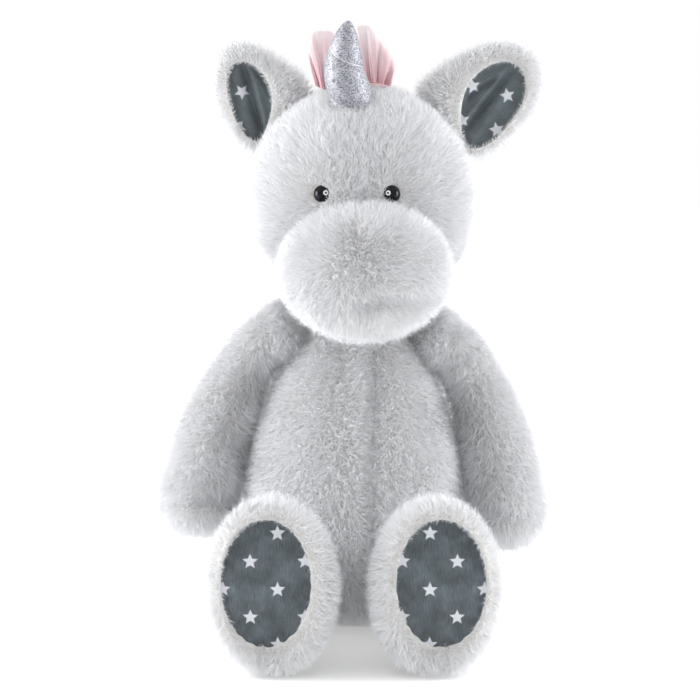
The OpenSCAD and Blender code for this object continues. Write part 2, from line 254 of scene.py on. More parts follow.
def lattice(rows: Array, wrap: bool = True, closed: bool = True) -> Skin:
    """A skin through a grid of points.

    Args:
        rows: points as an array of rows, columns and three coordinates.
        wrap: join the last column to the first.
        closed: close the first and last row with a fan to their middle.

    Returns:
        The skin. The faces of a closed one point outwards.
    """
    m, n = rows.shape[:2]
    points = rows.reshape(-1, 3)
    i, j = np.meshgrid(np.arange(m - 1), np.arange(n if wrap else n - 1), indexing="ij")
    i, j = i.ravel(), j.ravel()
    k = (j + 1) % n
    quads = np.stack([i * n + j, i * n + k, (i + 1) * n + k, (i + 1) * n + j], axis=1)
    tris = np.zeros((0, 3), int)
    if closed:
        j = np.arange(n)
        k = (j + 1) % n
        first, last, base = m * n, m * n + 1, (m - 1) * n
        points = np.concatenate([points, rows[0].mean(0)[None], rows[-1].mean(0)[None]])
        tris = np.concatenate([
            np.stack([np.full(n, first), k, j], axis=1),
            np.stack([np.full(n, last), base + j, base + k], axis=1),
        ])
    skin = Skin(points, quads, tris)
    return skin.facing(skin.volume() > 0) if closed else skin


def build_mesh(name: str, points: Array, faces: Sequence[Array], slots: Array | None = None,
               uv: Array | None = None) -> bpy.types.Object:
    """Puts arrays into a new mesh object at the origin.

    Args:
        name: the piece's name.
        points: the vertices.
        faces: arrays of corner numbers, one array for each number of corners.
        slots: each face's material slot.
        uv: a place on the flat cloth for each vertex, in millimetres.

    Returns:
        The new object, linked to the scene.
    """
    faces = [f for f in faces if len(f)]
    corners = np.concatenate([f.ravel() for f in faces]).astype(np.int32)
    sizes = np.concatenate([np.full(len(f), f.shape[1]) for f in faces])
    starts = np.concatenate([[0], np.cumsum(sizes)[:-1]]).astype(np.int32)
    mesh = bpy.data.meshes.new(name)
    mesh.vertices.add(len(points))
    mesh.vertices.foreach_set("co", np.ascontiguousarray(points, np.float32).ravel())
    mesh.loops.add(len(corners))
    mesh.loops.foreach_set("vertex_index", corners)
    mesh.polygons.add(len(sizes))
    mesh.polygons.foreach_set("loop_start", starts)
    mesh.polygons.foreach_set("use_smooth", np.ones(len(sizes), bool))
    if slots is not None:
        mesh.polygons.foreach_set("material_index", slots.astype(np.int32))
    if uv is not None:
        layer = mesh.uv_layers.new(name="FlatCloth")
        layer.data.foreach_set("uv", uv[corners].astype(np.float32).ravel())
    mesh.update(calc_edges=True)
    obj = bpy.data.objects.new(name, mesh)
    bpy.context.scene.collection.objects.link(obj)
    return obj


# ---- Pile ----


@dataclass(frozen=True)
class Pile:
    """How a fur fabric's pile stands.

    Attributes:
        length: a long lock's length.
        width: a long lock's width at its root.
        lift: angle from the normal at the root, in degrees.
        lay: angle from the normal towards the tip, in degrees.
        stray: spread of the combing direction, in degrees.
        clump: how far tips draw together, as a share of the length.
        per_mm2: long locks on each square millimetre of cloth.
        short_per_mm2: short, straight fibres between them.
        short_length: a short fibre's length, as a share of a long one's.
        drift: how far the combing direction wanders from place to place, in degrees.
        unsteady: spread of the lift and of the lay, in degrees.
        uneven: spread of the length, as a share of it.
        roll: a blade's greatest roll about its length, in radians.
        turned: share of locks whose upper halves get the darker painted shade, and how much more in a tuft.
    """

    length: float = 8.8 * MM
    width: float = 0.26 * MM
    lift: float = 22.0
    lay: float = 54.0
    stray: float = 38.0
    clump: float = 0.14
    per_mm2: float = 1.75
    short_per_mm2: float = 2.1
    short_length: float = 0.66
    drift: float = 34.0
    unsteady: tuple[float, float] = (12.0, 14.0)
    uneven: float = 0.13
    roll: float = 0.95
    turned: tuple[float, float] = (0.18, 0.14)


# Pile material slots: the fibre's own white at the tips, painted shade on the roots and short fibres, and a darker
# painted shade on a share of the locks.
TIP, ROOT_SHADE, SHADE = 0, 1, 2
TUFT = Swirl(5.0 * MM, 11)
LOCK = Swirl(2.2 * MM, 12)
DRIFT = Swirl(34 * MM, 13)
FLOOR_CLEARANCE = 0.4 * MM


def roots(skin: Skin, per_mm2: float, rng: np.random.Generator) -> tuple[Array, ...]:
    """Places locks over a skin, evenly by area times growth.

    Args:
        skin: what they grow on.
        per_mm2: locks on each square millimetre where growth is 1.
        rng: the random numbers.

    Returns:
        Each lock's root, normal, combing direction and share of the usual length.
    """
    tri = skin.triangles()
    grow = np.where(skin.growth[tri].min(1) > 0, skin.growth[tri].mean(1), 0.0)
    weight = np.linalg.norm(skin.spans(), axis=1) / 2 * grow
    total = np.cumsum(weight)
    count = int(total[-1] / MM**2 * per_mm2)
    pick = (np.arange(count) + rng.random(count)) / count * total[-1]
    face = np.clip(np.searchsorted(total, pick), 0, len(tri) - 1)
    r, s = np.sqrt(rng.random(count)), rng.random(count)
    share = np.stack([1 - r, r * (1 - s), r * s], axis=1)[:, :, None]
    corner = tri[face]
    normals = skin.normals()
    return (
        (skin.points[corner] * share).sum(1),
        unit((normals[corner] * share).sum(1)),
        (skin.flow[corner] * share).sum(1),
        (skin.reach[corner] * share[:, :, 0]).sum(1),
    )


def chosen(places: tuple[Array, ...], bare: Sequence[Mask], part: Mask | None) -> tuple[Array, ...]:
    """Drops the roots that a test of bare finds, and those that part doesn't.

    Args:
        places: arrays with a row for each root, of which the first is its place.
        bare: tests for roots that don't grow.
        part: a test for the roots that are wanted.

    Returns:
        The same arrays without those rows.
    """
    keep = np.ones(len(places[0]), bool) if part is None else part(places[0])
    for test in bare:
        keep &= ~test(places[0])
    return tuple(values[keep] for values in places)


def long_locks(pile: Pile, places: tuple[Array, ...], rng: np.random.Generator) -> tuple[Array, Array]:
    """Long locks, each a narrow blade with one bend.

    A lock leaves its root at the pile's lift, turns over to its lay half way up, and its tip is drawn
    towards the nearest low of two fine noises, so that tips gather in tufts. Its blade is rolled by a
    random angle about its length, so that no view sees every blade on edge.

    Args:
        pile: how they stand.
        places: each one's root, normal, combing direction and share of the usual length.
        rng: the random numbers.

    Returns:
        Five points for each lock, and whether its upper half gets the darker painted shade.
    """
    root, normal, flow, reach = places
    n = len(root)
    side = np.cross(normal, unit(across(flow, normal)))
    along = np.cross(side, normal)
    turn = np.radians(pile.stray * rng.normal(size=n) + pile.drift * DRIFT.value(root))[:, None]
    along, side = np.cos(turn) * along + np.sin(turn) * side, np.cos(turn) * side - np.sin(turn) * along
    length = (pile.length * reach * np.clip(1 + pile.uneven * rng.normal(size=n), 0.5, 1.25))[:, None]
    lift = np.radians(pile.lift + pile.unsteady[0] * rng.normal(size=n))[:, None]
    lay = np.radians(pile.lay + pile.unsteady[1] * rng.normal(size=n))[:, None]
    first = np.cos(lift) * normal + np.sin(lift) * along
    second = np.cos(lay) * normal + np.sin(lay) * along
    draw = across(TUFT.slope(root) + 0.6 * LOCK.slope(root), normal)
    middle = root + 0.5 * length * first - 0.4 * pile.clump * length * draw
    tip = middle + 0.5 * length * second - pile.clump * length * draw
    roll = rng.uniform(-pile.roll, pile.roll, n)[:, None]
    flat = unit(np.cross(first, normal) + 1e-9)
    blade = np.cos(roll) * flat + np.sin(roll) * np.cross(first, flat)
    half = (pile.width * (0.75 + 0.5 * rng.random(n)))[:, None] / 2
    points = np.stack([root - half * blade, root + half * blade,
                       middle - 0.8 * half * blade, middle + 0.8 * half * blade, tip], axis=1)
    # Painted shade: a share of locks, larger in tufts, is marked for the darker painted-shade material.
    return points, rng.random(n) < pile.turned[0] + pile.turned[1] * TUFT.value(root)


def short_fibres(pile: Pile, places: tuple[Array, ...], rng: np.random.Generator) -> Array:
    """Short, straight fibres that fill the pile: one triangle each.

    Args:
        pile: how they stand.
        places: each one's root, normal, combing direction and share of the usual length.
        rng: the random numbers.

    Returns:
        Three points for each fibre.
    """
    root, normal, flow, reach = places
    n = len(root)
    lean = unit(across(flow, normal)) * 0.5 + 0.5 * rng.normal(size=(n, 3))
    ahead = unit(normal + lean)
    length = (pile.length * pile.short_length * reach * rng.uniform(0.7, 1.2, n))[:, None]
    blade = unit(np.cross(ahead, rng.normal(size=(n, 3)))) * pile.width * 0.6
    return np.stack([root - blade, root + blade, root + length * ahead], axis=1)


def comb(name: str, skin: Skin, pile: Pile, seed: int, bare: Sequence[Mask] = (),
         part: Mask | None = None) -> bpy.types.Object:
    """Grows pile on a skin: long combed locks over short fibres, all as real blades.

    Args:
        name: the piece's name.
        skin: what the pile grows on.
        pile: how it stands.
        seed: what fixes the random numbers.
        bare: tests for roots that don't grow.
        part: a test for the roots that this piece has.

    Returns:
        The new object.
    """
    rng = np.random.default_rng(seed)
    locks, dark = long_locks(pile, chosen(roots(skin, pile.per_mm2, rng), bare, part), rng)
    fibres = short_fibres(pile, chosen(roots(skin, pile.short_per_mm2, rng), bare, part), rng)
    base = np.arange(len(locks))[:, None] * 5
    filler = len(locks) * 5 + np.arange(len(fibres))[:, None] * 3
    points = np.concatenate([locks.reshape(-1, 3), fibres.reshape(-1, 3)])
    points[:, 2] = np.maximum(points[:, 2], FLOOR_CLEARANCE)
    quads = base + np.array([0, 1, 3, 2])
    tris = np.concatenate([base + np.array([2, 3, 4]), filler + np.array([0, 1, 2])])
    # Painted shade: root quads and short fibres take the root painted shade, and the upper halves of the marked
    # locks take the darker painted shade.
    upper = np.where(dark, SHADE, TIP)
    slots = np.concatenate([np.full(len(locks), ROOT_SHADE), upper, np.full(len(fibres), ROOT_SHADE)])
    return build_mesh(name, points, [quads, tris], slots)


# ---- Finishes ----


def linear(code: str) -> tuple[float, float, float, float]:
    """Turns an sRGB hex colour to linear light."""
    values = [int(code[i:i + 2], 16) / 255 for i in (1, 3, 5)]
    low = [v / 12.92 if v <= 0.04045 else ((v + 0.055) / 1.055) ** 2.4 for v in values]
    return (low[0], low[1], low[2], 1.0)


def add_node(tree: bpy.types.NodeTree, kind: str, settings: dict | None = None,
             inputs: dict | None = None) -> bpy.types.Node:
    """Adds a node with its settings, its values and its links.

    Args:
        tree: the material's nodes.
        kind: the node's type.
        settings: properties of the node.
        inputs: a value or an output socket for an input, by name or number.

    Returns:
        The new node.
    """
    node = tree.nodes.new(kind)
    for key, value in (settings or {}).items():
        setattr(node, key, value)
    for key, value in (inputs or {}).items():
        if isinstance(value, bpy.types.NodeSocket):
            tree.links.new(value, node.inputs[key])
        else:
            node.inputs[key].default_value = value
    return node


@dataclass(frozen=True)
class Finish:
    """What every finish has: a name for the real material, and its plain shader values.

    Attributes:
        name: the material's name.
        colour: sRGB hex colour.
        roughness: the shader's roughness.
        sheen: weight of the sheen that fine fibre ends give.
        metallic: share of bare metal.
    """

    name: str
    colour: str
    roughness: float = 0.8
    sheen: float = 0.0
    metallic: float = 0.0

    def start(self) -> tuple[bpy.types.Material, bpy.types.NodeTree, bpy.types.Node]:
        """A new material with its shader, holding the plain values."""
        material = bpy.data.materials.new(self.name)
        material.use_nodes = True
        tree = material.node_tree
        shader = tree.nodes["Principled BSDF"]
        shader.inputs["Base Color"].default_value = linear(self.colour)
        shader.inputs["Roughness"].default_value = self.roughness
        shader.inputs["Sheen Weight"].default_value = self.sheen
        shader.inputs["Metallic"].default_value = self.metallic
        material.diffuse_color = linear(self.colour)
        return material, tree, shader

    def make(self) -> bpy.types.Material:
        """The finished material."""
        return self.start()[0]


@dataclass(frozen=True)
class Backing(Finish):
    """Knitted polyester backing, seen between the roots of the pile as a soft, uneven ground, with a warm painted
    shade in the hollows between its loops.

    Attributes:
        ground: warm grey painted shade for the hollows between the loops, which also darkens the low patches of
            the mottle.
        loop_mm: size of a knitted loop, drawn at twice its real size so that it shows.
        mottle_mm: size of its uneven patches.
    """

    ground: str = "#cfcdc8"
    loop_mm: float = 1.6
    mottle_mm: float = 9.0

    def make(self) -> bpy.types.Material:
        """Mottles the colour by two noises, mixing in the painted shade where the loops and the mottle are low,
        and raises the loops.
        """
        material, tree, shader = self.start()
        place = add_node(tree, "ShaderNodeTexCoord").outputs["Object"]
        mottle = add_node(tree, "ShaderNodeTexNoise", inputs={
            "Vector": place, "Scale": 1000 / self.mottle_mm, "Detail": 3.0, "Roughness": 0.6})
        loops = add_node(tree, "ShaderNodeTexNoise", inputs={
            "Vector": place, "Scale": 1000 / self.loop_mm, "Detail": 2.0})
        both = add_node(tree, "ShaderNodeMath", {"operation": "MULTIPLY"}, {
            0: mottle.outputs["Fac"], 1: loops.outputs["Fac"]})
        ramp = add_node(tree, "ShaderNodeMapRange", inputs={
            "Value": both.outputs[0], "From Min": 0.12, "From Max": 0.42})
        # Painted shade: the ground colour goes where the product of mottle and loops is low, which is in the
        # hollows between the loops and in the mottle's low patches.
        mix = add_node(tree, "ShaderNodeMix", {"data_type": "RGBA"}, {
            "Factor": ramp.outputs[0], 6: linear(self.ground), 7: linear(self.colour)})
        tree.links.new(mix.outputs[2], shader.inputs["Base Color"])
        bump = add_node(tree, "ShaderNodeBump", inputs={
            "Height": loops.outputs["Fac"], "Strength": 0.5, "Distance": 0.5 * MM})
        tree.links.new(bump.outputs["Normal"], shader.inputs["Normal"])
        return material


@dataclass(frozen=True)
class StarPrint(Finish):
    """Short-pile polyester plush printed with pale stars, with a painted sheen in lighter streaks along its nap.

    Attributes:
        ink: colour of the stars.
        shine: colour of the painted sheen in the streaks.
        pitch_mm: distance between stars across and along the cloth, as a staggered lattice.
        star_mm: distance from a star's middle to its points.
        inner: distance to its inner corners, as a share of that.
        shift_mm: where the lattice starts.
    """

    ink: str = "#d0d3da"
    shine: str = "#66737a"
    pitch_mm: tuple[float, float] = (33.0, 34.2)
    star_mm: float = 4.7
    inner: float = 0.47
    shift_mm: tuple[float, float] = (0.0, 0.0)

    def _stars(self, tree: bpy.types.NodeTree, x: bpy.types.NodeSocket, y: bpy.types.NodeSocket,
               shift: tuple[float, float]) -> bpy.types.NodeSocket:
        """One lattice of five-pointed stars.

        A point is folded into a tenth of a turn about its cell's middle. There a star's edge is one
        straight line from its outer point to its inner corner, and the output is the distance past it.

        Args:
            tree: the material's nodes.
            x: the place across the cloth, in millimetres.
            y: the place along it.
            shift: where the lattice starts.

        Returns:
            The distance outside the nearest star's edge, below 0 inside it.
        """
        wide, tall = self.pitch_mm
        fifth = 2 * math.pi / 5
        inner = self.inner * self.star_mm
        edge = (inner * math.cos(fifth / 2) - self.star_mm, inner * math.sin(fifth / 2))
        size = math.hypot(*edge)
        out = (edge[1] / size, -edge[0] / size)
        found = {"x": x, "y": y}
        # Each step's name, its operation, and its inputs: numbers, or the names of earlier steps.
        for name, operation, *given in (
            ("x started", "ADD", "x", wide / 2 - shift[0]),
            ("x in cell", "FLOORED_MODULO", "x started", wide),
            ("across", "SUBTRACT", "x in cell", wide / 2),
            ("y started", "ADD", "y", tall / 2 - shift[1]),
            ("y in cell", "FLOORED_MODULO", "y started", tall),
            ("along", "SUBTRACT", "y in cell", tall / 2),
            ("angle", "ARCTAN2", "across", "along"),
            ("angle started", "ADD", "angle", fifth / 2),
            ("angle in fifth", "FLOORED_MODULO", "angle started", fifth),
            ("from point", "SUBTRACT", "angle in fifth", fifth / 2),
            ("wedge", "ABSOLUTE", "from point"),
            ("across squared", "MULTIPLY", "across", "across"),
            ("along squared", "MULTIPLY", "along", "along"),
            ("far squared", "ADD", "across squared", "along squared"),
            ("far", "SQRT", "far squared"),
            ("cosine", "COSINE", "wedge"),
            ("towards point", "MULTIPLY", "far", "cosine"),
            ("first term", "MULTIPLY", "towards point", out[0]),
            ("sine", "SINE", "wedge"),
            ("beside", "MULTIPLY", "far", "sine"),
            ("second term", "MULTIPLY", "beside", out[1]),
            ("sum", "ADD", "first term", "second term"),
            ("past edge", "SUBTRACT", "sum", out[0] * self.star_mm),
        ):
            inputs = {i: found[item] if isinstance(item, str) else item for i, item in enumerate(given)}
            found[name] = add_node(tree, "ShaderNodeMath", {"operation": operation}, inputs).outputs[0]
        return found["past edge"]

    def make(self) -> bpy.types.Material:
        """Lays two lattices half a cell apart over pile with streaks of painted sheen, with fibre-soft star edges.
        """
        material, tree, shader = self.start()
        cloth = add_node(tree, "ShaderNodeUVMap", {"uv_map": "FlatCloth"}).outputs["UV"]
        fuzz = add_node(tree, "ShaderNodeTexNoise", inputs={"Vector": cloth, "Scale": 1.6, "Detail": 2.0})
        nudge = add_node(tree, "ShaderNodeVectorMath", {"operation": "MULTIPLY_ADD"}, {
            0: fuzz.outputs["Color"], 1: (0.7, 0.7, 0.0), 2: cloth})
        split = add_node(tree, "ShaderNodeSeparateXYZ", inputs={0: nudge.outputs[0]})
        x, y = split.outputs[0], split.outputs[1]
        half = (self.shift_mm[0] + self.pitch_mm[0] / 2, self.shift_mm[1] + self.pitch_mm[1] / 2)
        nearest = add_node(tree, "ShaderNodeMath", {"operation": "MINIMUM"}, {
            0: self._stars(tree, x, y, self.shift_mm), 1: self._stars(tree, x, y, half)})
        star = add_node(tree, "ShaderNodeMapRange", inputs={
            "Value": nearest.outputs[0], "From Min": -0.25, "From Max": 0.25, "To Min": 1.0, "To Max": 0.0})
        grain = add_node(tree, "ShaderNodeMapping", inputs={"Vector": cloth, "Scale": (1.0, 0.16, 1.0)})
        streak = add_node(tree, "ShaderNodeTexNoise", inputs={
            "Vector": grain.outputs[0], "Scale": 1.1, "Detail": 5.0, "Roughness": 0.75})
        broad = add_node(tree, "ShaderNodeTexNoise", inputs={"Vector": cloth, "Scale": 0.07, "Detail": 2.0})
        # Painted sheen: lighter streaks where the nap would catch the light, mixed into the base colour below.
        sheen_streaks = add_node(tree, "ShaderNodeMath", {"operation": "MULTIPLY"}, {
            0: streak.outputs["Fac"], 1: broad.outputs["Fac"]})
        shine = add_node(tree, "ShaderNodeMapRange", inputs={
            "Value": sheen_streaks.outputs[0], "From Min": 0.16, "From Max": 0.46})
        ground = add_node(tree, "ShaderNodeMix", {"data_type": "RGBA"}, {
            "Factor": shine.outputs[0], 6: linear(self.colour), 7: linear(self.shine)})
        print_mix = add_node(tree, "ShaderNodeMix", {"data_type": "RGBA"}, {
            "Factor": star.outputs[0], 6: ground.outputs[2], 7: linear(self.ink)})
        tree.links.new(print_mix.outputs[2], shader.inputs["Base Color"])
        bump = add_node(tree, "ShaderNodeBump", inputs={
            "Height": streak.outputs["Fac"], "Strength": 0.55, "Distance": 0.6 * MM})
        tree.links.new(bump.outputs["Normal"], shader.inputs["Normal"])
        return material


@dataclass(frozen=True)
class Glitter(Finish):
    """Glitter-coated fabric: foil flakes glued flat on cloth, each tilted its own way and painted its own
    brightness, from painted shade to painted glint.

    Attributes:
        dark: colour of the painted shade on a flake that is turned away from the lamps.
        flake_mm: size of a flake, drawn at twice its real size so that it shows.
    """

    dark: str = "#5a5c66"
    flake_mm: float = 0.75

    def make(self) -> bpy.types.Material:
        """Gives each cell of a fine cell pattern a painted brightness and a tilt of its own."""
        material, tree, shader = self.start()
        place = add_node(tree, "ShaderNodeTexCoord").outputs["Object"]
        flakes = add_node(tree, "ShaderNodeTexVoronoi", inputs={
            "Vector": place, "Scale": 1000 / self.flake_mm, "Randomness": 1.0})
        tone = add_node(tree, "ShaderNodeSeparateColor", inputs={0: flakes.outputs["Color"]})
        # Painted glint and painted shade: each flake's random brightness stands in for the light that it catches
        # at its own angle.
        ramp = add_node(tree, "ShaderNodeMath", {"operation": "POWER"}, {0: tone.outputs[0], 1: 0.75})
        mix = add_node(tree, "ShaderNodeMix", {"data_type": "RGBA"}, {
            "Factor": ramp.outputs[0], 6: linear(self.dark), 7: linear(self.colour)})
        tree.links.new(mix.outputs[2], shader.inputs["Base Color"])
        bump = add_node(tree, "ShaderNodeBump", inputs={
            "Height": tone.outputs[1], "Strength": 0.9, "Distance": 0.5 * MM})
        tree.links.new(bump.outputs["Normal"], shader.inputs["Normal"])
        return material


@dataclass(frozen=True)
class Net(Finish):
    """Soft polyester net, see-through in one layer and deeper pink where layers gather at the sewn end.

    Attributes:
        gathered: colour at the sewn end.
        low: height at which the gathered colour ends.
        high: height from which the colour is plain.
        mesh_mm: size of the net's holes, drawn at twice its real size so that it shows.
        fold_mm: size of the soft folds that shift the colour up and down.
        cover: how much of what lies behind one layer it hides.
    """

    gathered: str = "#d9a9af"
    low: float = 0.0
    high: float = 1.0
    mesh_mm: float = 1.3
    fold_mm: float = 12.0
    cover: float = 0.86

    def make(self) -> bpy.types.Material:
        """Grades the colour by height, and raises the threads round the net's holes."""
        material, tree, shader = self.start()
        place = add_node(tree, "ShaderNodeTexCoord").outputs["Object"]
        split = add_node(tree, "ShaderNodeSeparateXYZ", inputs={0: place})
        folds = add_node(tree, "ShaderNodeTexNoise", inputs={
            "Vector": place, "Scale": 1000 / self.fold_mm, "Detail": 2.0})
        height = add_node(tree, "ShaderNodeMath", {"operation": "MULTIPLY_ADD"}, {
            0: folds.outputs["Fac"], 1: self.fold_mm * MM, 2: split.outputs[2]})
        grade = add_node(tree, "ShaderNodeMapRange", inputs={
            "Value": height.outputs[0], "From Min": self.low, "From Max": self.high})
        holes = add_node(tree, "ShaderNodeTexVoronoi", inputs={"Vector": place, "Scale": 1000 / self.mesh_mm})
        mix = add_node(tree, "ShaderNodeMix", {"data_type": "RGBA"}, {
            "Factor": grade.outputs[0], 6: linear(self.gathered), 7: linear(self.colour)})
        tree.links.new(mix.outputs[2], shader.inputs["Base Color"])
        bump = add_node(tree, "ShaderNodeBump", inputs={
            "Height": holes.outputs["Distance"], "Strength": 0.35, "Distance": 0.3 * MM})
        tree.links.new(bump.outputs["Normal"], shader.inputs["Normal"])
        shader.inputs["Alpha"].default_value = self.cover
        return material


@dataclass(frozen=True)
class Grained(Finish):
    """A plain finish with a fine grain of its own, for thread, filling, pellets and moulded washers.

    Attributes:
        grain: colour of the grain's dark side.
        grain_mm: size of the grain.
        depth_mm: how deep it is.
    """

    grain: str = "#d8d6d0"
    grain_mm: float = 1.0
    depth_mm: float = 0.3

    def make(self) -> bpy.types.Material:
        """Mixes the two colours by noise and raises it."""
        material, tree, shader = self.start()
        place = add_node(tree, "ShaderNodeTexCoord").outputs["Object"]
        noise = add_node(tree, "ShaderNodeTexNoise", inputs={
            "Vector": place, "Scale": 1000 / self.grain_mm, "Detail": 3.0})
        mix = add_node(tree, "ShaderNodeMix", {"data_type": "RGBA"}, {
            "Factor": noise.outputs["Fac"], 6: linear(self.grain), 7: linear(self.colour)})
        tree.links.new(mix.outputs[2], shader.inputs["Base Color"])
        bump = add_node(tree, "ShaderNodeBump", inputs={
            "Height": noise.outputs["Fac"], "Strength": 0.5, "Distance": self.depth_mm * MM})
        tree.links.new(bump.outputs["Normal"], shader.inputs["Normal"])
        return material


@dataclass(frozen=True)
class Moulded(Finish):
    """Black acrylic, moulded as one dome. Its skin mirrors the lamps a little, and handling has dulled it.

    Attributes:
        ior: index of refraction, below acrylic's own 1.49 because of the dulled skin.
        swirl_mm: size of the faint swirl in the black.
        deep: colour of the swirl's dark side.
    """

    ior: float = 1.32
    swirl_mm: float = 3.0
    deep: str = "#06070a"

    def make(self) -> bpy.types.Material:
        """Puts a trace of swirl in the black, and lowers the mirroring."""
        material, tree, shader = self.start()
        place = add_node(tree, "ShaderNodeTexCoord").outputs["Object"]
        swirl = add_node(tree, "ShaderNodeTexNoise", inputs={
            "Vector": place, "Scale": 1000 / self.swirl_mm, "Detail": 2.0})
        mix = add_node(tree, "ShaderNodeMix", {"data_type": "RGBA"}, {
            "Factor": swirl.outputs["Fac"], 6: linear(self.deep), 7: linear(self.colour)})
        tree.links.new(mix.outputs[2], shader.inputs["Base Color"])
        shader.inputs["IOR"].default_value = self.ior
        return material


@dataclass
class Workshop:
    """Every material of the toy, made once and handed to the pieces.

    Attributes:
        mane_low: height of the mane's sewn end.
        mane_high: height of the mane's top.
    """

    mane_low: float
    mane_high: float

    def __post_init__(self) -> None:
        """Makes the materials."""
        # Polyester pile: heat-set fibre with matt, cool white tips. The roots and short fibres are painted a
        # little darker and warmer, as painted shade deep in the pile, and a share of locks, more in tufts, carry a
        # darker painted shade.
        self.pile = [
            Finish("polyester_pile_tips", "#f2f3f6", 0.62, 0.08).make(),
            Finish("polyester_pile_roots", "#f0f0f1", 0.75, 0.03).make(),
            Finish("polyester_pile_turned", "#e9ebef", 0.58, 0.08).make(),
        ]
        self.backing = Backing("knitted_polyester_backing", "#f1f1f0", 0.9).make()
        self.sole_print = StarPrint(
            "star_printed_short_plush", "#383f44", 0.55, 0.3, shift_mm=(-7.0, -3.0)).make()
        self.ear_print = StarPrint(
            "star_printed_short_plush_ears", "#485054", 0.55, 0.35, star_mm=5.2).make()
        self.glitter = Glitter("glitter_coated_fabric", "#b9bac2", 0.55, 0.0, 0.4).make()
        self.thread = Grained("silver_wrapped_thread", "#eef0f4", 0.4, 0.1, 0.4, "#b4b7c0", 0.6).make()
        self.net = Net("gathered_polyester_net", "#ecdfe2", 0.8, 0.2,
                       low=self.mane_low, high=self.mane_high).make()
        self.tape = Grained("woven_cotton_tape", "#e6c3c6", 0.9, 0.1, 0.0, "#d2a6aa", 0.8).make()
        self.eye = Moulded("moulded_black_acrylic", "#0d1017", 0.12).make()
        # Painted reflection: white for the ring of a lamp's reflection that is laid on each eye.
        self.eye_print = Finish("white_pad_printed_ink", "#f2f4f8", 0.3).make()
        self.by_slot = {
            "white_fur": self.backing,
            "star_print_plush": self.sole_print,
            "glitter_fabric": self.glitter,
            "silver_thread": self.thread,
            "pink_net": self.tape,
            "eye_plastic": self.eye,
            "washer_plastic":
                Grained("moulded_nylon_washer", "#e8e8e4", 0.45, 0.0, 0.0, "#dcdcd6", 2.0, 0.05).make(),
            "stuffing":
                Grained("polyester_fibre_filling", "#fafafa", 0.95, 0.4, 0.0, "#e6e6e4", 3.0, 1.5).make(),
            "pouch_cloth": Grained("woven_polyester_pouch", "#ece8df", 0.85, 0.1, 0.0, "#d5d0c4", 0.9).make(),
            "pellets":
                Grained("moulded_plastic_pellets", "#e9e7e0", 0.5, 0.0, 0.0, "#c9c6bb", 3.5, 1.5).make(),
            "seam_thread":
                Grained("polyester_closing_thread", "#f1f0ec", 0.8, 0.1, 0.0, "#d6d3ca", 0.8).make(),
        }

    def dress_nodes(self) -> None:
        """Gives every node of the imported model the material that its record's slot asks for."""
        for row in frame["record"]["subparts"]:
            data = frame["nodes"][row["node"]].data
            data.materials.clear()
            data.materials.append(self.by_slot[row["material_slot"]])


# ---- Sub-assemblies ----


@dataclass
class Part:
    """What every sub-assembly has.

    Attributes:
        shop: the materials.
        inset: how far the cloth lies inside the solids' outer faces.
        seed: what fixes its random numbers.
        saving: how much thinner the pile grows behind and underneath.
    """

    shop: Workshop
    inset: float = 5.6 * MM
    seed: int = 1
    saving: float = 0.6

    def stuffed(self, name: str, skin: Skin, body: str, nodes: Sequence[str],
                fill: float) -> bpy.types.Object:
        """A stuffed cloth skin that stands for some solids.

        Args:
            name: the piece's name.
            skin: its surface.
            body: the body it rides on.
            nodes: the nodes that it replaces.
            fill: how tightly it is stuffed; not used.

        Returns:
            The piece.
        """
        obj = build_mesh(name, skin.points, [skin.quads, skin.tris])
        obj.data.materials.append(self.shop.backing)
        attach(obj, body)
        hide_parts(*nodes)
        log.info("%s: %d vertices", name, len(skin.points))
        return obj

    def furred(self, name: str, skin: Skin, body: str, pile: Pile, bare: Sequence[Mask] = (),
               part: Mask | None = None, seed: int = 0) -> bpy.types.Object:
        """Pile that rides with the skin it grows on.

        Args:
            name: the piece's name.
            skin: what it grows on.
            body: the body it rides on.
            pile: how it stands.
            bare: tests for roots that don't grow.
            part: a test for the roots that this piece has.
            seed: told apart from the part's other piles by this number.

        Returns:
            The piece.
        """
        behind = ease(skin.normals()[:, 1], -0.1, 0.6) + ease(-skin.normals()[:, 2], 0.5, 0.95)
        thinned = replace(skin, growth=skin.growth * (1 - self.saving * np.minimum(behind, 1)))
        obj = comb(name, thinned, pile, self.seed * 100 + seed, bare, part)
        for material in self.shop.pile:
            obj.data.materials.append(material)
        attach(obj, body)
        log.info("%s: %d faces", name, len(obj.data.polygons))
        return obj


def stretched_sheet(name: str, skin: Skin, flat: Array, body: str, node: str,
                    material: bpy.types.Material) -> None:
    """A printed cloth sewn over stuffing.

    Args:
        name: the piece's name.
        skin: its surface.
        flat: each vertex's place on the flat cloth, in millimetres.
        body: the body it rides on.
        node: the node it stands for.
        material: its printed cloth.
    """
    obj = build_mesh(name, skin.points, [skin.quads, skin.tris], uv=flat)
    obj.data.materials.append(material)
    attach(obj, body)
    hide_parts(node)


def inside_ball(centre: Array, radius: float) -> Mask:
    """A test for points within a ball."""
    return lambda points: ((points - centre) ** 2).sum(1) < radius**2


def inside_egg(centre: Array, radii: Array) -> Mask:
    """A test for points within an ellipsoid."""
    return lambda points: (((points - centre) / radii) ** 2).sum(1) < 1


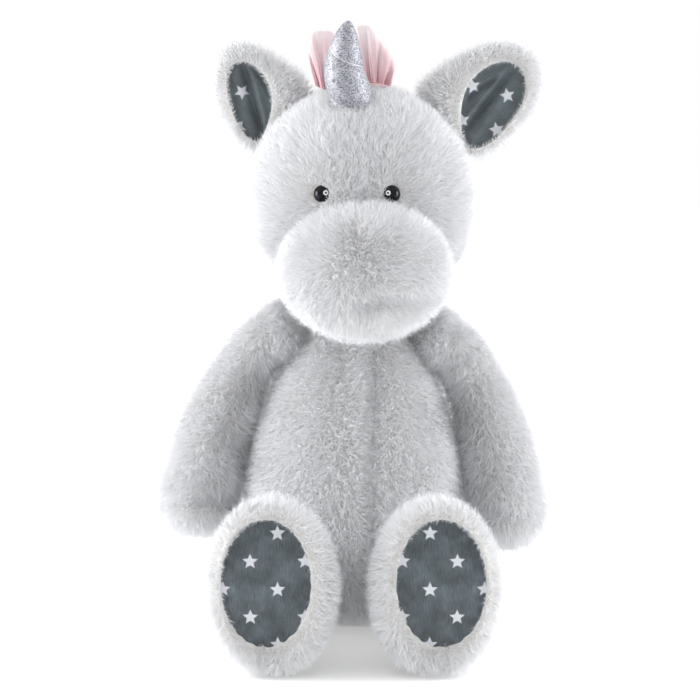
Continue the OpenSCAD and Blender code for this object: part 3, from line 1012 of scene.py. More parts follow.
def collar(part: Part, side: Side, joint: str, body: str, node: str, toward: Array, pile: Pile) -> None:
    """A furred cap round a limb's sewn end, which turns with the limb's first joint and hides its root.

    Args:
        part: whose materials it takes.
        side: which side of the toy it is on.
        joint: the joint it is centred on.
        body: the body it rides on.
        node: the seam's node that it replaces.
        toward: the way into the torso, which is the cap's axis.
        pile: how its fur stands.
    """
    low, high = node_box(node)
    centre = joint_place(joint)
    radius = float(high[2] - low[2]) / 2 - 5 * MM
    up = np.array([0.0, 0.0, 1.0])
    beside = np.cross(toward, up)
    fall = np.radians(np.linspace(2, 112, 30))[:, None, None]
    turn = full_turn(72)[None, :, None]
    around = np.cos(turn) * up + np.sin(turn) * beside
    rows = centre + radius * (np.cos(fall) * toward + np.sin(fall) * around)
    skin = lattice(rows)
    skin.flow = skin.flow - toward * 0.6
    reach = ease((skin.points - centre) @ -toward / radius, -0.95, -0.1)
    skin.reach, skin.growth = 0.45 + 0.5 * reach, np.where(reach > 0, 1.0, 0.0)
    skin.growth[-1] = 0.0
    part.stuffed(f"{body}_cap", skin, body, [node], 0.7)
    part.furred(f"{body}_cap_pile", skin, body, pile, seed=10 + side.value)


@dataclass
class Torso(Part):
    """The torso: a leaning, turned bag with a seam down its front, and a ruff at its neck.

    Attributes:
        belly_r: its greatest radius.
        belly_z: the height of that.
        seat_r: radius of the disc it sits on.
        neck_r: radius of its top.
        lean: how far it leans to its own left, in degrees.
        seam_depth: how deep the front seam draws in.
        clear: how far it stays from the limbs' seams.
        ruff_half: half the ruff's height.
        gathers: how many gathers lie round the ruff.
    """

    belly_r: float = 75 * MM
    belly_z: float = 58 * MM
    seat_r: float = 44 * MM
    neck_r: float = 31 * MM
    lean: float = 1.5
    seam_depth: float = 2.6 * MM
    clear: float = 0.8 * MM
    ruff_half: float = 6.5 * MM
    gathers: int = 18
    pile: Pile = Pile(length=8.6 * MM, lift=26, lay=56, stray=48, clump=0.2)

    def __post_init__(self) -> None:
        """Reads its place from the frame."""
        back = node_box("torso_back_left", "torso_back_right")
        self.axis_y = float(back[1][1]) - self.belly_r
        self.top = float(back[1][2])
        self.seam_x = float(node_box("torso_front_left")[0][0])

    def profile(self) -> Array:
        """Radius and height from the seat to the neck: two Bezier curves that meet at the belly."""
        d = self.inset
        belly = np.array([self.belly_r - d, self.belly_z])
        foot = np.array([self.seat_r - 0.6 * d, 0.3 * d])
        neck = np.array([self.neck_r - 0.6 * d, self.top - 0.6 * d])
        low = bezier(foot, foot + [21 * MM, 0], belly - [0, 30 * MM], belly, 26)
        high = bezier(belly, belly + [0, 43 * MM], neck + [31 * MM, -43 * MM], neck, 56)
        seat = np.linspace([foot[0] * 0.1, foot[1]], foot, 9)[:-1]
        crown = np.linspace(neck, [neck[0] * 0.1, neck[1] + 0.5 * MM], 8)[1:]
        return np.concatenate([seat, low[:-1], high, crown])

    def skin(self) -> Skin:
        """The profile turned about the axis, leaned, drawn in at the seam and pressed in by the limbs."""
        profile = self.profile()
        turn = full_turn(180)
        x = profile[:, :1] * np.cos(turn)
        y = profile[:, :1] * np.sin(turn)
        z = np.broadcast_to(profile[:, 1:], x.shape)
        near_seam = np.exp(-(((x - self.seam_x) / (5 * MM)) ** 2)) * (y < 0)
        tall = ease(z, 8 * MM, 40 * MM) * (1 - ease(z, self.top - 20 * MM, self.top))
        pull = 1 - self.seam_depth * near_seam * tall / np.maximum(profile[:, :1], 1 * MM)
        a = math.radians(self.lean)
        x, y = x * pull, y * pull
        rows = np.stack([x * math.cos(a) + z * math.sin(a), y + self.axis_y,
                         np.maximum(z * math.cos(a) - x * math.sin(a), 1.2 * MM)], axis=-1)
        skin = lattice(rows)
        normals = skin.normals()
        dx = skin.points[:, 0] - self.seam_x
        front = (normals[:, 1] < 0) & (skin.points[:, 2] > 25 * MM)
        skin.flow = np.tile([0.0, 0.0, -1.0], (len(skin.points), 1))
        skin.flow[:, 0] -= 0.9 * np.sign(dx) * np.exp(-((dx / (16 * MM)) ** 2)) * front
        under = 1 - ease(skin.points[:, 2], 3 * MM, 14 * MM)
        skin.flow[:, :2] += under[:, None] * (skin.points[:, :2] - [0, self.axis_y]) / self.belly_r
        flank = ease(np.abs(normals[:, 0]), 0.6, 0.95) * ease(skin.points[:, 2], 70 * MM, 110 * MM)
        skin.reach = 1 - 0.55 * under - 0.25 * np.exp(-((dx / (3 * MM)) ** 2)) * front + 0.3 * flank
        return self.pressed(skin)

    def pressed(self, skin: Skin) -> Skin:
        """Presses the skin in where the limbs are sewn on, and leaves those hollows bare.

        A point inside a shoulder's ball moves towards the torso's axis until it is on the ball. A point
        inside a hip's ball, or in front of it within the leg, moves back until it is on the ball.

        Args:
            skin: the torso's skin, whose points move.

        Returns:
            The same skin.
        """
        p = skin.points
        moved = np.zeros(len(p), bool)
        for side in Side:
            seam = node_box(f"{side.word}_shoulder_seam")
            centre = joint_place(f"{side.word}_arm_swing")
            radius = (seam[1][2] - seam[0][2]) / 2 + self.clear
            away = p - centre
            within = (away**2).sum(1) < radius**2
            reach = np.sqrt(np.maximum(radius**2 - away[:, 1] ** 2 - away[:, 2] ** 2, 0))
            p[within, 0] = centre[0] - side.value * reach[within]
            moved |= within
            seam = node_box(f"{side.word}_hip_seam")
            centre = joint_place(f"{side.word}_leg_lift")
            radius = (seam[1][2] - seam[0][2]) / 2 + self.clear
            away = p - centre
            tube = (away[:, 0] ** 2 + away[:, 2] ** 2 < radius**2) & (away[:, 1] < 0)
            within = tube | ((away**2).sum(1) < radius**2)
            reach = np.sqrt(np.maximum(radius**2 - away[:, 0] ** 2 - away[:, 2] ** 2, 0))
            p[within, 1] = centre[1] + reach[within]
            moved |= within
        skin.growth = np.where(moved, 0.0, skin.growth)
        return skin

    def ruff(self) -> Skin:
        """A short gathered neck between torso and head: a waisted tube about the neck's axis."""
        low, high = node_box("neck_seam")
        middle, radius = (low + high) / 2, (high[0] - low[0]) / 2 + 2.5 * MM
        t = np.linspace(-1, 1, 13)[:, None]
        turn = full_turn(72)
        r = radius + 2.5 * MM * np.abs(t) + 0.5 * MM * np.cos(self.gathers * turn)
        rows = np.stack([middle[0] + r * np.cos(turn), middle[1] + r * np.sin(turn),
                         np.broadcast_to(middle[2] + self.ruff_half * t, r.shape)], axis=-1)
        skin = lattice(rows)
        skin.reach = np.full(len(skin.points), 0.85)
        return skin

    def build(self) -> None:
        """Makes the torso's pieces."""
        skin = self.skin()
        nodes = ["torso_front_left", "torso_front_right", "torso_back_left", "torso_back_right", "torso_base"]
        self.stuffed("torso_skin", skin, "torso", nodes, 0.85)
        front: Mask = lambda points: points[:, 1] < self.axis_y
        left: Mask = lambda points: points[:, 0] > 0
        quarters: dict[str, Mask] = {
            "front_left": lambda p: front(p) & left(p),
            "front_right": lambda p: front(p) & ~left(p),
            "back_left": lambda p: ~front(p) & left(p),
            "back_right": lambda p: ~front(p) & ~left(p),
        }
        for seed, (name, part) in enumerate(quarters.items(), start=5):
            self.furred(f"torso_{name}_pile", skin, "torso", self.pile, part=part, seed=seed)
        ruff = self.ruff()
        self.stuffed("neck_ruff", ruff, "neck", ["neck_seam"], 0.6)
        self.furred("neck_ruff_pile", ruff, "neck", self.pile, seed=3)
        for side in Side:
            word = side.word
            collar(self, side, f"{word}_arm_swing", f"{word}_shoulder", f"{word}_shoulder_seam",
                   np.array([-side.value, 0.0, 0.0]), self.pile)
            collar(self, side, f"{word}_leg_lift", f"{word}_hip", f"{word}_hip_seam",
                   np.array([0.0, 1.0, 0.0]), self.pile)


@dataclass
class Head(Part):
    """The head's ball and its big soft muzzle.

    Attributes:
        muzzle_depth: the muzzle's size from front to back.
        mouth_drop: how far the stitched-in mouth lies below the muzzle's middle.
        mouth_reach: half the mouth's length.
        mouth_x: how far the mouth's middle lies towards the toy's own left.
        dome_r: radius of an eye's dome.
        eye_bare: radius round an eye's foot that no pile grows in.
        horn_bare: radius round the horn's foot that no pile grows in.
        groove: how deep the mouth draws in.
        whorl: where the muzzle's combing starts, from its middle.
        ring_spread: angles from the middle of an eye's painted catchlight ring to its four edges, in degrees.
        ring_lift: how far each of those edges stands off the eye.
    """

    muzzle_depth: float = 114 * MM
    mouth_drop: float = 15 * MM
    mouth_reach: float = 22 * MM
    mouth_x: float = 15 * MM
    dome_r: float = 6 * MM
    eye_bare: float = 5.2 * MM
    horn_bare: float = 12 * MM
    groove: float = 3.6 * MM
    whorl: tuple[float, float, float] = (-4 * MM, 0.0, 30 * MM)
    ring_spread: tuple[float, ...] = (7.0, 9.0, 14.0, 16.0)
    ring_lift: tuple[float, ...] = (0.03 * MM, 0.12 * MM, 0.12 * MM, 0.03 * MM)
    pile: Pile = Pile(length=9.0 * MM, lift=20, lay=50, clump=0.13)
    muzzle_pile: Pile = Pile(length=9.0 * MM, lift=18, lay=46, stray=50, clump=0.16)

    def __post_init__(self) -> None:
        """Reads the ball, the muzzle and the eyes from the frame."""
        low, high = node_box("head_left_panel", "head_right_panel", "head_gusset")
        ball_high = node_box("head_gusset")[1]
        self.radius = float(high[0] - low[0]) / 2
        self.centre = np.array([
            (low[0] + high[0]) / 2, ball_high[1] - self.radius, ball_high[2] - self.radius])
        low, high = node_box("muzzle_top", "chin")
        half = (high - low) / 2
        self.muzzle_radii = np.array([half[0], self.muzzle_depth / 2, half[2]])
        self.muzzle = np.array([
            (low[0] + high[0]) / 2, low[1] + self.muzzle_depth / 2, (low[2] + high[2]) / 2])
        self.eyes = {}
        for side in Side:
            low, high = node_box(f"{side.word}_eye")
            self.eyes[side] = (low + high) / 2

    def ball_skin(self) -> Skin:
        """The ball: circles about the upright axis, combed away from the muzzle and down at the back."""
        rise = np.radians(np.linspace(-88.5, 88.5, 96))[:, None]
        turn = full_turn(168)
        ball = np.stack([np.cos(rise) * np.cos(turn), np.cos(rise) * np.sin(turn),
                         np.sin(rise) + 0 * turn], axis=-1) * (self.radius - self.inset)
        wave = 1 + 0.008 * Swirl(60 * MM, 21).value(ball.reshape(-1, 3)).reshape(ball.shape[:2])
        rows = wave[:, :, None] * ball + self.centre
        skin = lattice(rows)
        p = skin.points
        back = ease(p[:, 1], self.centre[1] - 10 * MM, self.centre[1] + 60 * MM)
        skin.flow = unit(p - self.muzzle) * (1 - back)[:, None] + np.array([0, 0, -1.2]) * back[:, None]
        for eye in self.eyes.values():
            gap = p - eye
            far = np.linalg.norm(gap, axis=1)
            near = np.exp(-((far / (15 * MM)) ** 2))
            skin.flow += 2.5 * unit(gap) * near[:, None]
            skin.reach -= 0.42 * near
        return skin

    def muzzle_skin(self) -> Skin:
        """The muzzle: an egg with its poles front and back, pinched along the mouth and combed in a whorl."""
        rise = np.radians(np.linspace(-88, 88, 90))[:, None]
        turn = full_turn(168)
        radii = self.muzzle_radii - self.inset
        x = radii[0] * np.cos(rise) * np.cos(turn)
        z = radii[2] * np.cos(rise) * np.sin(turn)
        y = -radii[1] * np.sin(rise) + 0 * turn
        along = (x - self.mouth_x) / self.mouth_reach
        middle = -self.mouth_drop - 3 * MM * along**2
        groove = np.exp(-(((z - middle) / (4.5 * MM)) ** 2) - along**4) * (y < 0)
        y = y + self.groove * groove
        rows = np.stack([x, y, z], axis=-1) + self.muzzle
        skin = lattice(rows[:, ::-1])
        p = skin.points - self.muzzle
        out = (p - np.array(self.whorl)) * [1, 0, 1]
        turned = np.stack([-out[:, 2], 0 * out[:, 0], out[:, 0]], axis=1)
        drift = Swirl(30 * MM, 41).slope(p)
        skin.flow = unit(out) + 0.25 * unit(turned) + np.array([0, 0.5, 0]) + 0.8 * drift
        lips = np.exp(-(((p[:, 2] + self.mouth_drop) / (6 * MM)) ** 2)
                      - ((p[:, 0] - self.mouth_x) / self.mouth_reach) ** 4) * (p[:, 1] < 0)
        skin.reach = 1 - 0.35 * lips
        return skin

    def build(self) -> None:
        """Makes the head's stuffed pieces, their pile and the eyes' painted catchlights."""
        ball, muzzle = self.ball_skin(), self.muzzle_skin()
        self.stuffed("head_skin", ball, "head", ["head_left_panel", "head_right_panel", "head_gusset"], 0.9)
        self.stuffed("muzzle_skin", muzzle, "head", ["muzzle_top", "chin"], 0.8)
        in_muzzle = inside_egg(self.muzzle, self.muzzle_radii - self.inset)
        cloth_r = self.radius - self.inset
        in_ball = inside_ball(self.centre, cloth_r)
        at_eyes = [inside_ball(self.centre + unit(eye - self.centre) * cloth_r, self.eye_bare)
                   for eye in self.eyes.values()]
        horn = node_box("horn_cover")
        foot = np.array([(horn[0][0] + horn[1][0]) / 2 + 2 * MM, horn[1][1] - 14 * MM, horn[0][2] + 10 * MM])
        bare = [in_muzzle, *at_eyes, inside_ball(foot, self.horn_bare)]
        left: Mask = lambda points: points[:, 0] > self.centre[0]
        self.furred("head_left_pile", ball, "head", self.pile, bare, left, 1)
        self.furred("head_right_pile", ball, "head", self.pile, bare, lambda p: ~left(p), 2)
        self.furred("muzzle_pile", muzzle, "head", self.muzzle_pile, [in_ball], seed=3)
        for side in Side:
            self.ring(side)

    def ring(self, side: Side) -> None:
        """The painted catchlight on an eye, a small white ring that stands for a lamp's reflection: a flat band
        about a direction from the dome's middle.

        Args:
            side: which eye. The dome's top is the point of its solid that is furthest from the head.
        """
        solid = np.array([v.co for v in frame["nodes"][f"{side.word}_eye"].data.vertices])
        top = solid[np.argmax(np.linalg.norm(solid - self.centre, axis=1))]
        axis = unit(top - self.centre)
        middle = top - axis * self.dome_r
        right = unit(np.cross(axis, [0.0, 0.0, 1.0]))
        up = np.cross(right, axis)
        # The painted catchlight faces the camera's side, a little inwards and up, where a frontal lamp's
        # reflection sits.
        toward = unit(np.array([-0.36 * side.value, -1.0, 0.17]))
        u = unit(np.cross(toward, up))
        v = np.cross(u, toward)
        turn = full_turn(40)[None, :, None]
        wide = np.radians(self.ring_spread)[:, None, None]
        lift = np.array(self.ring_lift)[:, None, None]
        around = np.cos(turn) * u + np.sin(turn) * v
        rows = middle + (self.dome_r + lift) * (np.cos(wide) * toward + np.sin(wide) * around)
        skin = lattice(rows, closed=False)
        obj = build_mesh(f"{side.word}_eye_ring", skin.points, [skin.quads])
        obj.data.materials.append(self.shop.eye_print)
        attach(obj, "head")


@dataclass
class Ear(Part):
    """One floppy ear: a fat fur rim and back, and a star-printed lining that is folded along its length.

    Its own frame has w from the middle of its sewn edge towards its tip, and u towards the lower edge.

    Attributes:
        side: which ear.
        tilt: how far it leans from upright, in degrees.
        edge: the outer edge's cloth as places u, w in millimetres, from the sewn end over the tip.
        opening: the lining's edge in the same way.
        sunk: from the fold down to the middle of the sewn edge.
        star_at: where one of the lining's stars lies, as a place u, w in millimetres.
    """

    side: Side = Side.LEFT
    tilt: float = 60.0
    edge: tuple[tuple[float, float], ...] = ()
    opening: tuple[tuple[float, float], ...] = ()
    sunk: float = 6 * MM
    star_at: tuple[float, float] = (0.0, 0.0)
    pile: Pile = Pile(length=7.5 * MM, lift=26, lay=56, stray=30, clump=0.15, per_mm2=2.0)

    def __post_init__(self) -> None:
        """Reads the fold's place from the frame."""
        self.root = joint_place(f"{self.side.word}_ear_fold")

    def place(self, u: Array, depth: Array, w: Array) -> Array:
        """Turns points from the ear's own frame to the toy's frame."""
        a = math.radians(self.tilt)
        along, out = w - self.sunk, u
        return np.stack([self.side.value * (out * math.cos(a) + along * math.sin(a)), depth,
                         along * math.cos(a) - out * math.sin(a)], axis=-1) + self.root

    @staticmethod
    def loop(corners: tuple[tuple[float, float], ...], count: int) -> Array:
        """A smooth closed line near some corners: a quadratic B-spline over the closed polygon."""
        c = np.array(corners) * MM
        t = np.linspace(0, len(c), count, endpoint=False)
        i, f = t.astype(int) % len(c), (t % 1)[:, None]
        before, here, after = c[i - 1], c[i], c[(i + 1) % len(c)]
        return 0.5 * (1 - f) ** 2 * before + (0.5 + f - f**2) * here + 0.5 * f**2 * after

    def hollow(self, u: Array, w: Array, share: Array) -> Array:
        """A bowl with two folds that fan from the tip, the deepest held to a limit.

        Args:
            u: places across the ear.
            w: places along it.
            share: how far out each place is, from 0 in the opening's middle to 1 at its edge.

        Returns:
            How far the opening's cloth lies behind its edge.
        """
        fan = 1 - ease(w, 20 * MM, 52 * MM)
        curl = u + 8.5 * MM + 0.10 * (w - 24 * MM)
        valley = u - 3 * MM + 0.42 * (w - 20 * MM)
        curled = ease(w, 4 * MM, 14 * MM) * (1 - ease(w, 32 * MM, 40 * MM))
        folds = (3.0 * np.exp(-((curl / (1.8 * MM)) ** 2)) * curled
                 + 4.0 * np.exp(-((valley / (2.6 * MM)) ** 2)) * (0.6 + 0.4 * fan)
                 - 2.2 * np.exp(-(((valley - 7 * MM) / (4.5 * MM)) ** 2))
                 - 1.8 * np.exp(-(((valley + 5.5 * MM) / (2.8 * MM)) ** 2)))
        return np.minimum(1.4 * (1 - share**2) + folds * (1 - ease(share, 0.75, 1.0)), 4.8) * MM

    def skin(self) -> Skin:
        """The ear's cloth, from the opening's middle over the fat front rim, round the edge to the back.

        Rows run outwards from the opening's middle to its edge, over a roll to the outer edge, half
        round the edge, and inwards to the back's middle, which bulges.
        """
        count = 132
        edge, opening = self.loop(self.edge, count), self.loop(self.opening, count)
        middle, heart = edge.mean(0), opening.mean(0)
        rows = []
        for share in np.linspace(0.08, 1.0, 16):
            rows.append((heart + share * (opening - heart), np.full(count, (3.4 - 5.4 * share**6) * MM)))
        for share in np.linspace(0, 1, 14)[1:]:
            puff = -2.0 - 3.2 * math.sin(math.pi * share**0.8) ** 0.7 + 0.6 * share
            rows.append((opening + share * (edge - opening), np.full(count, puff * MM)))
        for angle in np.linspace(0, math.pi, 9)[1:]:
            p = edge + 1.6 * MM * math.sin(angle) * unit(edge - middle)
            rows.append((p, np.full(count, (0.9 - 2.3 * math.cos(angle)) * MM)))
        for share in np.linspace(1, 0.06, 16)[1:]:
            p = middle + share * (edge - middle)
            rows.append((p, np.full(count, (3.2 + 2.6 * (1 - share**2.2)) * MM)))
        grid = np.stack([self.place(p[:, 0], depth, p[:, 1]) for p, depth in rows])
        skin = lattice(grid)
        tip = self.place(np.zeros(1), np.zeros(1), np.full(1, 40 * MM))[0] - self.root
        centre = self.place(middle[:1], np.zeros(1), middle[1:])[0]
        row = np.concatenate([np.repeat(np.arange(len(rows)), count), [0, len(rows)]])
        outward = 2 * ease(row, 15, 21)[:, None] - 0.8
        skin.flow = unit(skin.points - centre) * outward + 0.4 * unit(tip)
        skin.growth = np.where(row > 15, 1.0, 0.0)
        skin.reach = 0.42 + 0.58 * ease(row, 16, 23) - 0.15 * ease(row, 34, 44)
        return skin

    def lining(self) -> tuple[Skin, Array]:
        """The opening's printed cloth, a little in front of the ear's own cloth, with its flat places."""
        count, steps = 132, 40
        opening = self.loop(self.opening, count)
        heart = opening.mean(0)
        share = np.linspace(0.03, 1.07, steps)[:, None]
        u, w = (heart[i] + share * (opening[:, i] - heart[i]) for i in range(2))
        inner = np.minimum(share, 1.0)
        depth = -2.0 * MM + self.hollow(u, w, inner + 0 * u) + 1.0 * MM * ease(share, 1.0, 1.07)
        grid = self.place(u, depth, w)
        skin = lattice(grid, closed=False)
        star = np.array(self.star_at) * [self.side.value, 1]
        flat = np.stack([u * self.side.value, w], axis=-1).reshape(-1, 2) / MM - star
        centre = np.append(skin.points, grid[0].mean(0)[None], axis=0)
        j = np.arange(count)
        fan = np.stack([np.full(count, len(centre) - 1), (j + 1) % count, j], axis=1)
        skin = Skin(centre, skin.quads, fan)
        skin = skin.facing(skin.normals()[:, 1].mean() < 0)
        return skin, np.append(flat, [heart * [self.side.value, 1] / MM - star], axis=0)

    def build(self) -> None:
        """Makes the ear's pieces."""
        word, body = self.side.word, f"{self.side.word}_ear"
        skin = self.skin()
        back = self.stuffed(f"{word}_ear_skin", skin, body, [f"{word}_ear_back"], 0.5)
        self.furred(f"{word}_ear_pile", skin, body, self.pile)
        lining, flat = self.lining()
        stretched_sheet(f"{word}_ear_print", lining, flat, body, f"{word}_ear_lining",
                        self.shop.ear_print)


@dataclass
class Arm(Part):
    """One arm: a bowed sleeve that widens to a round hand, pinched by a seam on its hand.

    Attributes:
        side: which arm.
        angle: from the vertical, in degrees.
        length: from the shoulder's centre to the hand's.
        shoulder_r: radius of the shoulder.
        hand_r: radius of the hand.
        bow: how far it bows outwards.
        pinch: how far the hand's seam draws in, as a share of the radius.
    """

    side: Side = Side.LEFT
    angle: float = 23.0
    length: float = 127 * MM
    shoulder_r: float = 23 * MM
    hand_r: float = 29 * MM
    bow: float = 13.5 * MM
    pinch: float = 0.11
    pile: Pile = Pile(length=9.2 * MM, lift=22, lay=54, clump=0.15)

    def __post_init__(self) -> None:
        """Reads the shoulder's place from the frame."""
        self.root = joint_place(f"{self.side.word}_arm_swing")

    def place(self, local: Array) -> Array:
        """Turns points from the arm's own frame, where it hangs along -Z, to the toy's frame."""
        a = math.radians(self.angle)
        x, y, z = local[..., 0], local[..., 1], local[..., 2]
        return np.stack([self.side.value * (x * math.cos(a) - z * math.sin(a)), y,
                         x * math.sin(a) + z * math.cos(a)], axis=-1) + self.root

    def radius(self, s: Array) -> Array:
        """Radius along the arm: it slims a little to a waist, and swells to the hand by a sine."""
        waist, slim = self.length * 0.28, self.shoulder_r - 2.5 * MM
        upper = self.shoulder_r - 2.5 * MM * np.sin(np.pi / 2 * np.clip(s / waist, 0, 1))
        past = np.clip((s - waist) / (self.length - waist), 0, 1)
        lower = slim + (self.hand_r - slim) * np.sin(np.pi / 2 * past)
        return np.where(s < waist, upper, lower)

    def skin(self) -> Skin:
        """Circles along a bowed line between two half balls, with a pinch across the hand's front."""
        start = self.shoulder_r - self.inset
        end = self.hand_r - self.inset
        cap = np.radians(np.linspace(2, 88, 16))
        sleeve = np.linspace(0, self.length, 60)
        s = np.concatenate([-start * np.cos(cap), sleeve, self.length + end * np.sin(cap)])
        r = np.concatenate([start * np.sin(cap), self.radius(sleeve) - self.inset, end * np.cos(cap)])
        inner = np.clip(s / self.length, 0, 1)
        bow = self.bow * np.sin(np.pi * inner**0.65)
        turn = full_turn(112)
        x, y = r[:, None] * np.cos(turn), r[:, None] * np.sin(turn)
        z = -s[:, None] + 0 * turn
        off_seam = z + self.length + 2 * MM + 0.55 * (x - 4 * MM)
        crease = np.exp(-((off_seam / (4 * MM)) ** 2)) * ease(-y, 2 * MM, 14 * MM)
        pull = 1 - self.pinch * crease
        rows = self.place(np.stack([x * pull + bow[:, None], y * pull, z], axis=-1))
        skin = lattice(rows[:, :: -self.side.value])
        down = self.place(np.array([0.0, 0.0, -1.0])) - self.root
        out = self.place(np.array([1.0, 0.0, 0.0])) - self.root
        skin.flow = np.tile(down + 0.15 * out, (len(skin.points), 1))
        depth = np.concatenate([crease.ravel(), [0, 0]])
        fallen = ease(self.root[2] - skin.points[:, 2], 10 * MM, 40 * MM)
        inner = ease(-(skin.normals() @ out), 0.3, 0.9) * fallen
        skin.reach = 1 - 0.3 * depth[: len(skin.points)] + 0.3 * inner
        return skin

    def build(self) -> None:
        """Makes the arm's pieces."""
        word = self.side.word
        skin = self.skin()
        self.stuffed(f"{word}_arm_skin", skin, f"{word}_arm", [f"{word}_arm_outer", f"{word}_arm_inner"], 0.8)
        torso: Mask = inside_ball(np.array([0.0, self.root[1], self.root[2]]), 26 * MM)
        self.furred(f"{word}_arm_pile", skin, f"{word}_arm", self.pile, [torso])


@dataclass
class Leg(Part):
    """One leg: a sleeve that lies forward, turns up into a foot and ends in a fat rim round its sole.

    Attributes:
        side: which leg.
        foot_w: width of the foot.
        foot_h: height of the foot.
        rim: how far the fur stands past the sole.
        tuck: how far behind the sole's front the rim's cloth ends.
        full_at: where along the leg its foot is fullest, as a share of its run.
        stations: shares of its run at which the shape is given, before the foot.
        widths_mm: half its width there.
        heights_mm: half its height there.
        climbs: how far its middle has climbed to the foot's middle there, as a share.
        circles: ovals over the hip's cap, along the sleeve, over the rim and inwards behind the sole.
    """

    side: Side = Side.LEFT
    foot_w: float = 82 * MM
    foot_h: float = 114 * MM
    rim: float = 7 * MM
    tuck: float = 4 * MM
    full_at: float = 0.93
    stations: tuple[float, ...] = (0, 0.3, 0.55, 0.72, 0.84)
    widths_mm: tuple[float, ...] = (30, 30, 31.5, 35, 39)
    heights_mm: tuple[float, ...] = (30, 29.4, 31.5, 41, 51)
    climbs: tuple[float, ...] = (0, 0.005, 0.03, 0.32, 0.74)
    circles: tuple[int, int, int, int] = (14, 60, 33, 9)
    pile: Pile = Pile(length=9.0 * MM, lift=22, lay=52, clump=0.12)

    def __post_init__(self) -> None:
        """Reads the hip and the sole from the frame."""
        self.hip = joint_place(f"{self.side.word}_leg_lift")
        seam = node_box(f"{self.side.word}_hip_seam")
        self.hip_r = float(seam[1][2] - seam[0][2]) / 2 - 0.6 * MM
        low, high = node_box(f"{self.side.word}_foot_sole")
        self.sole, self.sole_half = (low + high) / 2, (high - low) / 2
        self.sole_y = float(low[1])
        low, high = node_box(f"{self.side.word}_leg_top", f"{self.side.word}_leg_bottom")
        self.foot_x = float(self.sole[0]) - self.side.value * 3.5 * MM
        self.foot_z = float(high[2]) - self.foot_h / 2

    def skin(self) -> Skin:
        """Ovals from the hip to the foot, then a rim rolled forward and in to the sole's edge.

        Along the leg, each oval's place and half sizes are smooth curves through a few stations. Over
        the rim, each point goes half round a small circle from the foot's oval to the sole's oval.
        """
        d = self.inset
        cap_rows, sleeve_rows, roll_rows, end_rows = self.circles
        run = self.hip[1] - self.sole_y
        at = [*self.stations, self.full_at]
        start = self.hip_r - d
        cap = np.radians(np.linspace(2, 88, cap_rows))
        s = np.linspace(0, self.full_at, sleeve_rows)
        rise = self.foot_z - self.hip[2]
        lift = through(s, at, [*self.climbs, 1.0]) * rise
        half_x = through(s, at, [*self.widths_mm, self.foot_w / 2 / MM]) * MM - d
        half_z = through(s, at, [*self.heights_mm, self.foot_h / 2 / MM]) * MM - d
        over = np.radians(np.linspace(0, 180, roll_rows + 1))[1:]
        shrink = np.linspace(1, 0.06, end_rows + 1)[1:]
        sole_x, sole_z = self.sole_half[0] + 1 * MM, self.sole_half[2] + 1 * MM
        end_x, end_z = half_x[-1], half_z[-1]
        roll_x = (end_x + sole_x) / 2 + (end_x - sole_x) / 2 * np.cos(over)
        roll_z = (end_z + sole_z) / 2 + (end_z - sole_z) / 2 * np.cos(over)
        full, tucked = run * self.full_at, run - self.tuck
        out_y = full + (run - full + self.rim - d) * np.sin(over)
        back_y = tucked + (self.rim + self.tuck - d) * np.sin(over)
        reach_y = np.where(over > math.pi / 2, back_y, out_y)
        ahead = np.concatenate([-start * np.cos(cap), s * run, reach_y, np.full(end_rows, tucked)])
        half_x = np.concatenate([start * np.sin(cap), half_x, roll_x, roll_x[-1] * shrink])
        half_z = np.concatenate([start * np.sin(cap), half_z, roll_z, roll_z[-1] * shrink])
        share = np.clip(ahead / full, 0, 1)
        mid_z = np.concatenate([np.zeros(cap_rows), lift, np.full(roll_rows + end_rows, rise)]) + self.hip[2]
        mid_x = self.hip[0] + share * (self.foot_x - self.hip[0])
        first = cap_rows + sleeve_rows
        toward_sole = np.concatenate([np.zeros(first), (1 - np.cos(over)) / 2, np.ones(end_rows)])
        mid_x = mid_x + toward_sole * (self.sole[0] - self.foot_x)
        mid_z = mid_z + toward_sole * (self.sole[2] - self.foot_z)
        turn = full_turn(144)
        notch = np.exp(-(((turn - 1.5 * math.pi - 0.12 * self.side.value) / 0.07) ** 2))
        on_rim = ease(ahead, run * 0.8, run * 0.95)[:, None] * (half_z > sole_z * 1.02)[:, None]
        pull = 1 - 0.075 * notch * on_rim
        x = mid_x[:, None] + half_x[:, None] * np.cos(turn) * pull
        z = mid_z[:, None] + half_z[:, None] * np.sin(turn) * pull
        y = self.hip[1] - ahead[:, None] + 2.2 * MM * notch * on_rim
        rows = np.stack([x, y, np.maximum(z, 1.5 * MM)], axis=-1)
        skin = lattice(rows)
        p = skin.points
        out = (p - [self.sole[0], 0, self.sole[2]]) * [1, 0, 1]
        front = ease(-p[:, 1], -self.hip[1] + 0.8 * run, -self.hip[1] + 0.97 * run)[:, None]
        skin.flow = unit(out) * front + np.array([0, -0.75, -0.65]) * (1 - front) + np.array([0, 0, -0.25])
        row = np.concatenate([np.repeat(np.arange(len(rows)), len(turn)), [0, len(rows)]])
        skin.growth = np.where(row < first + 26, 1.0, 0.0)
        skin.reach = 1 - 0.62 * ease(row, first + 10, first + 25)
        return skin

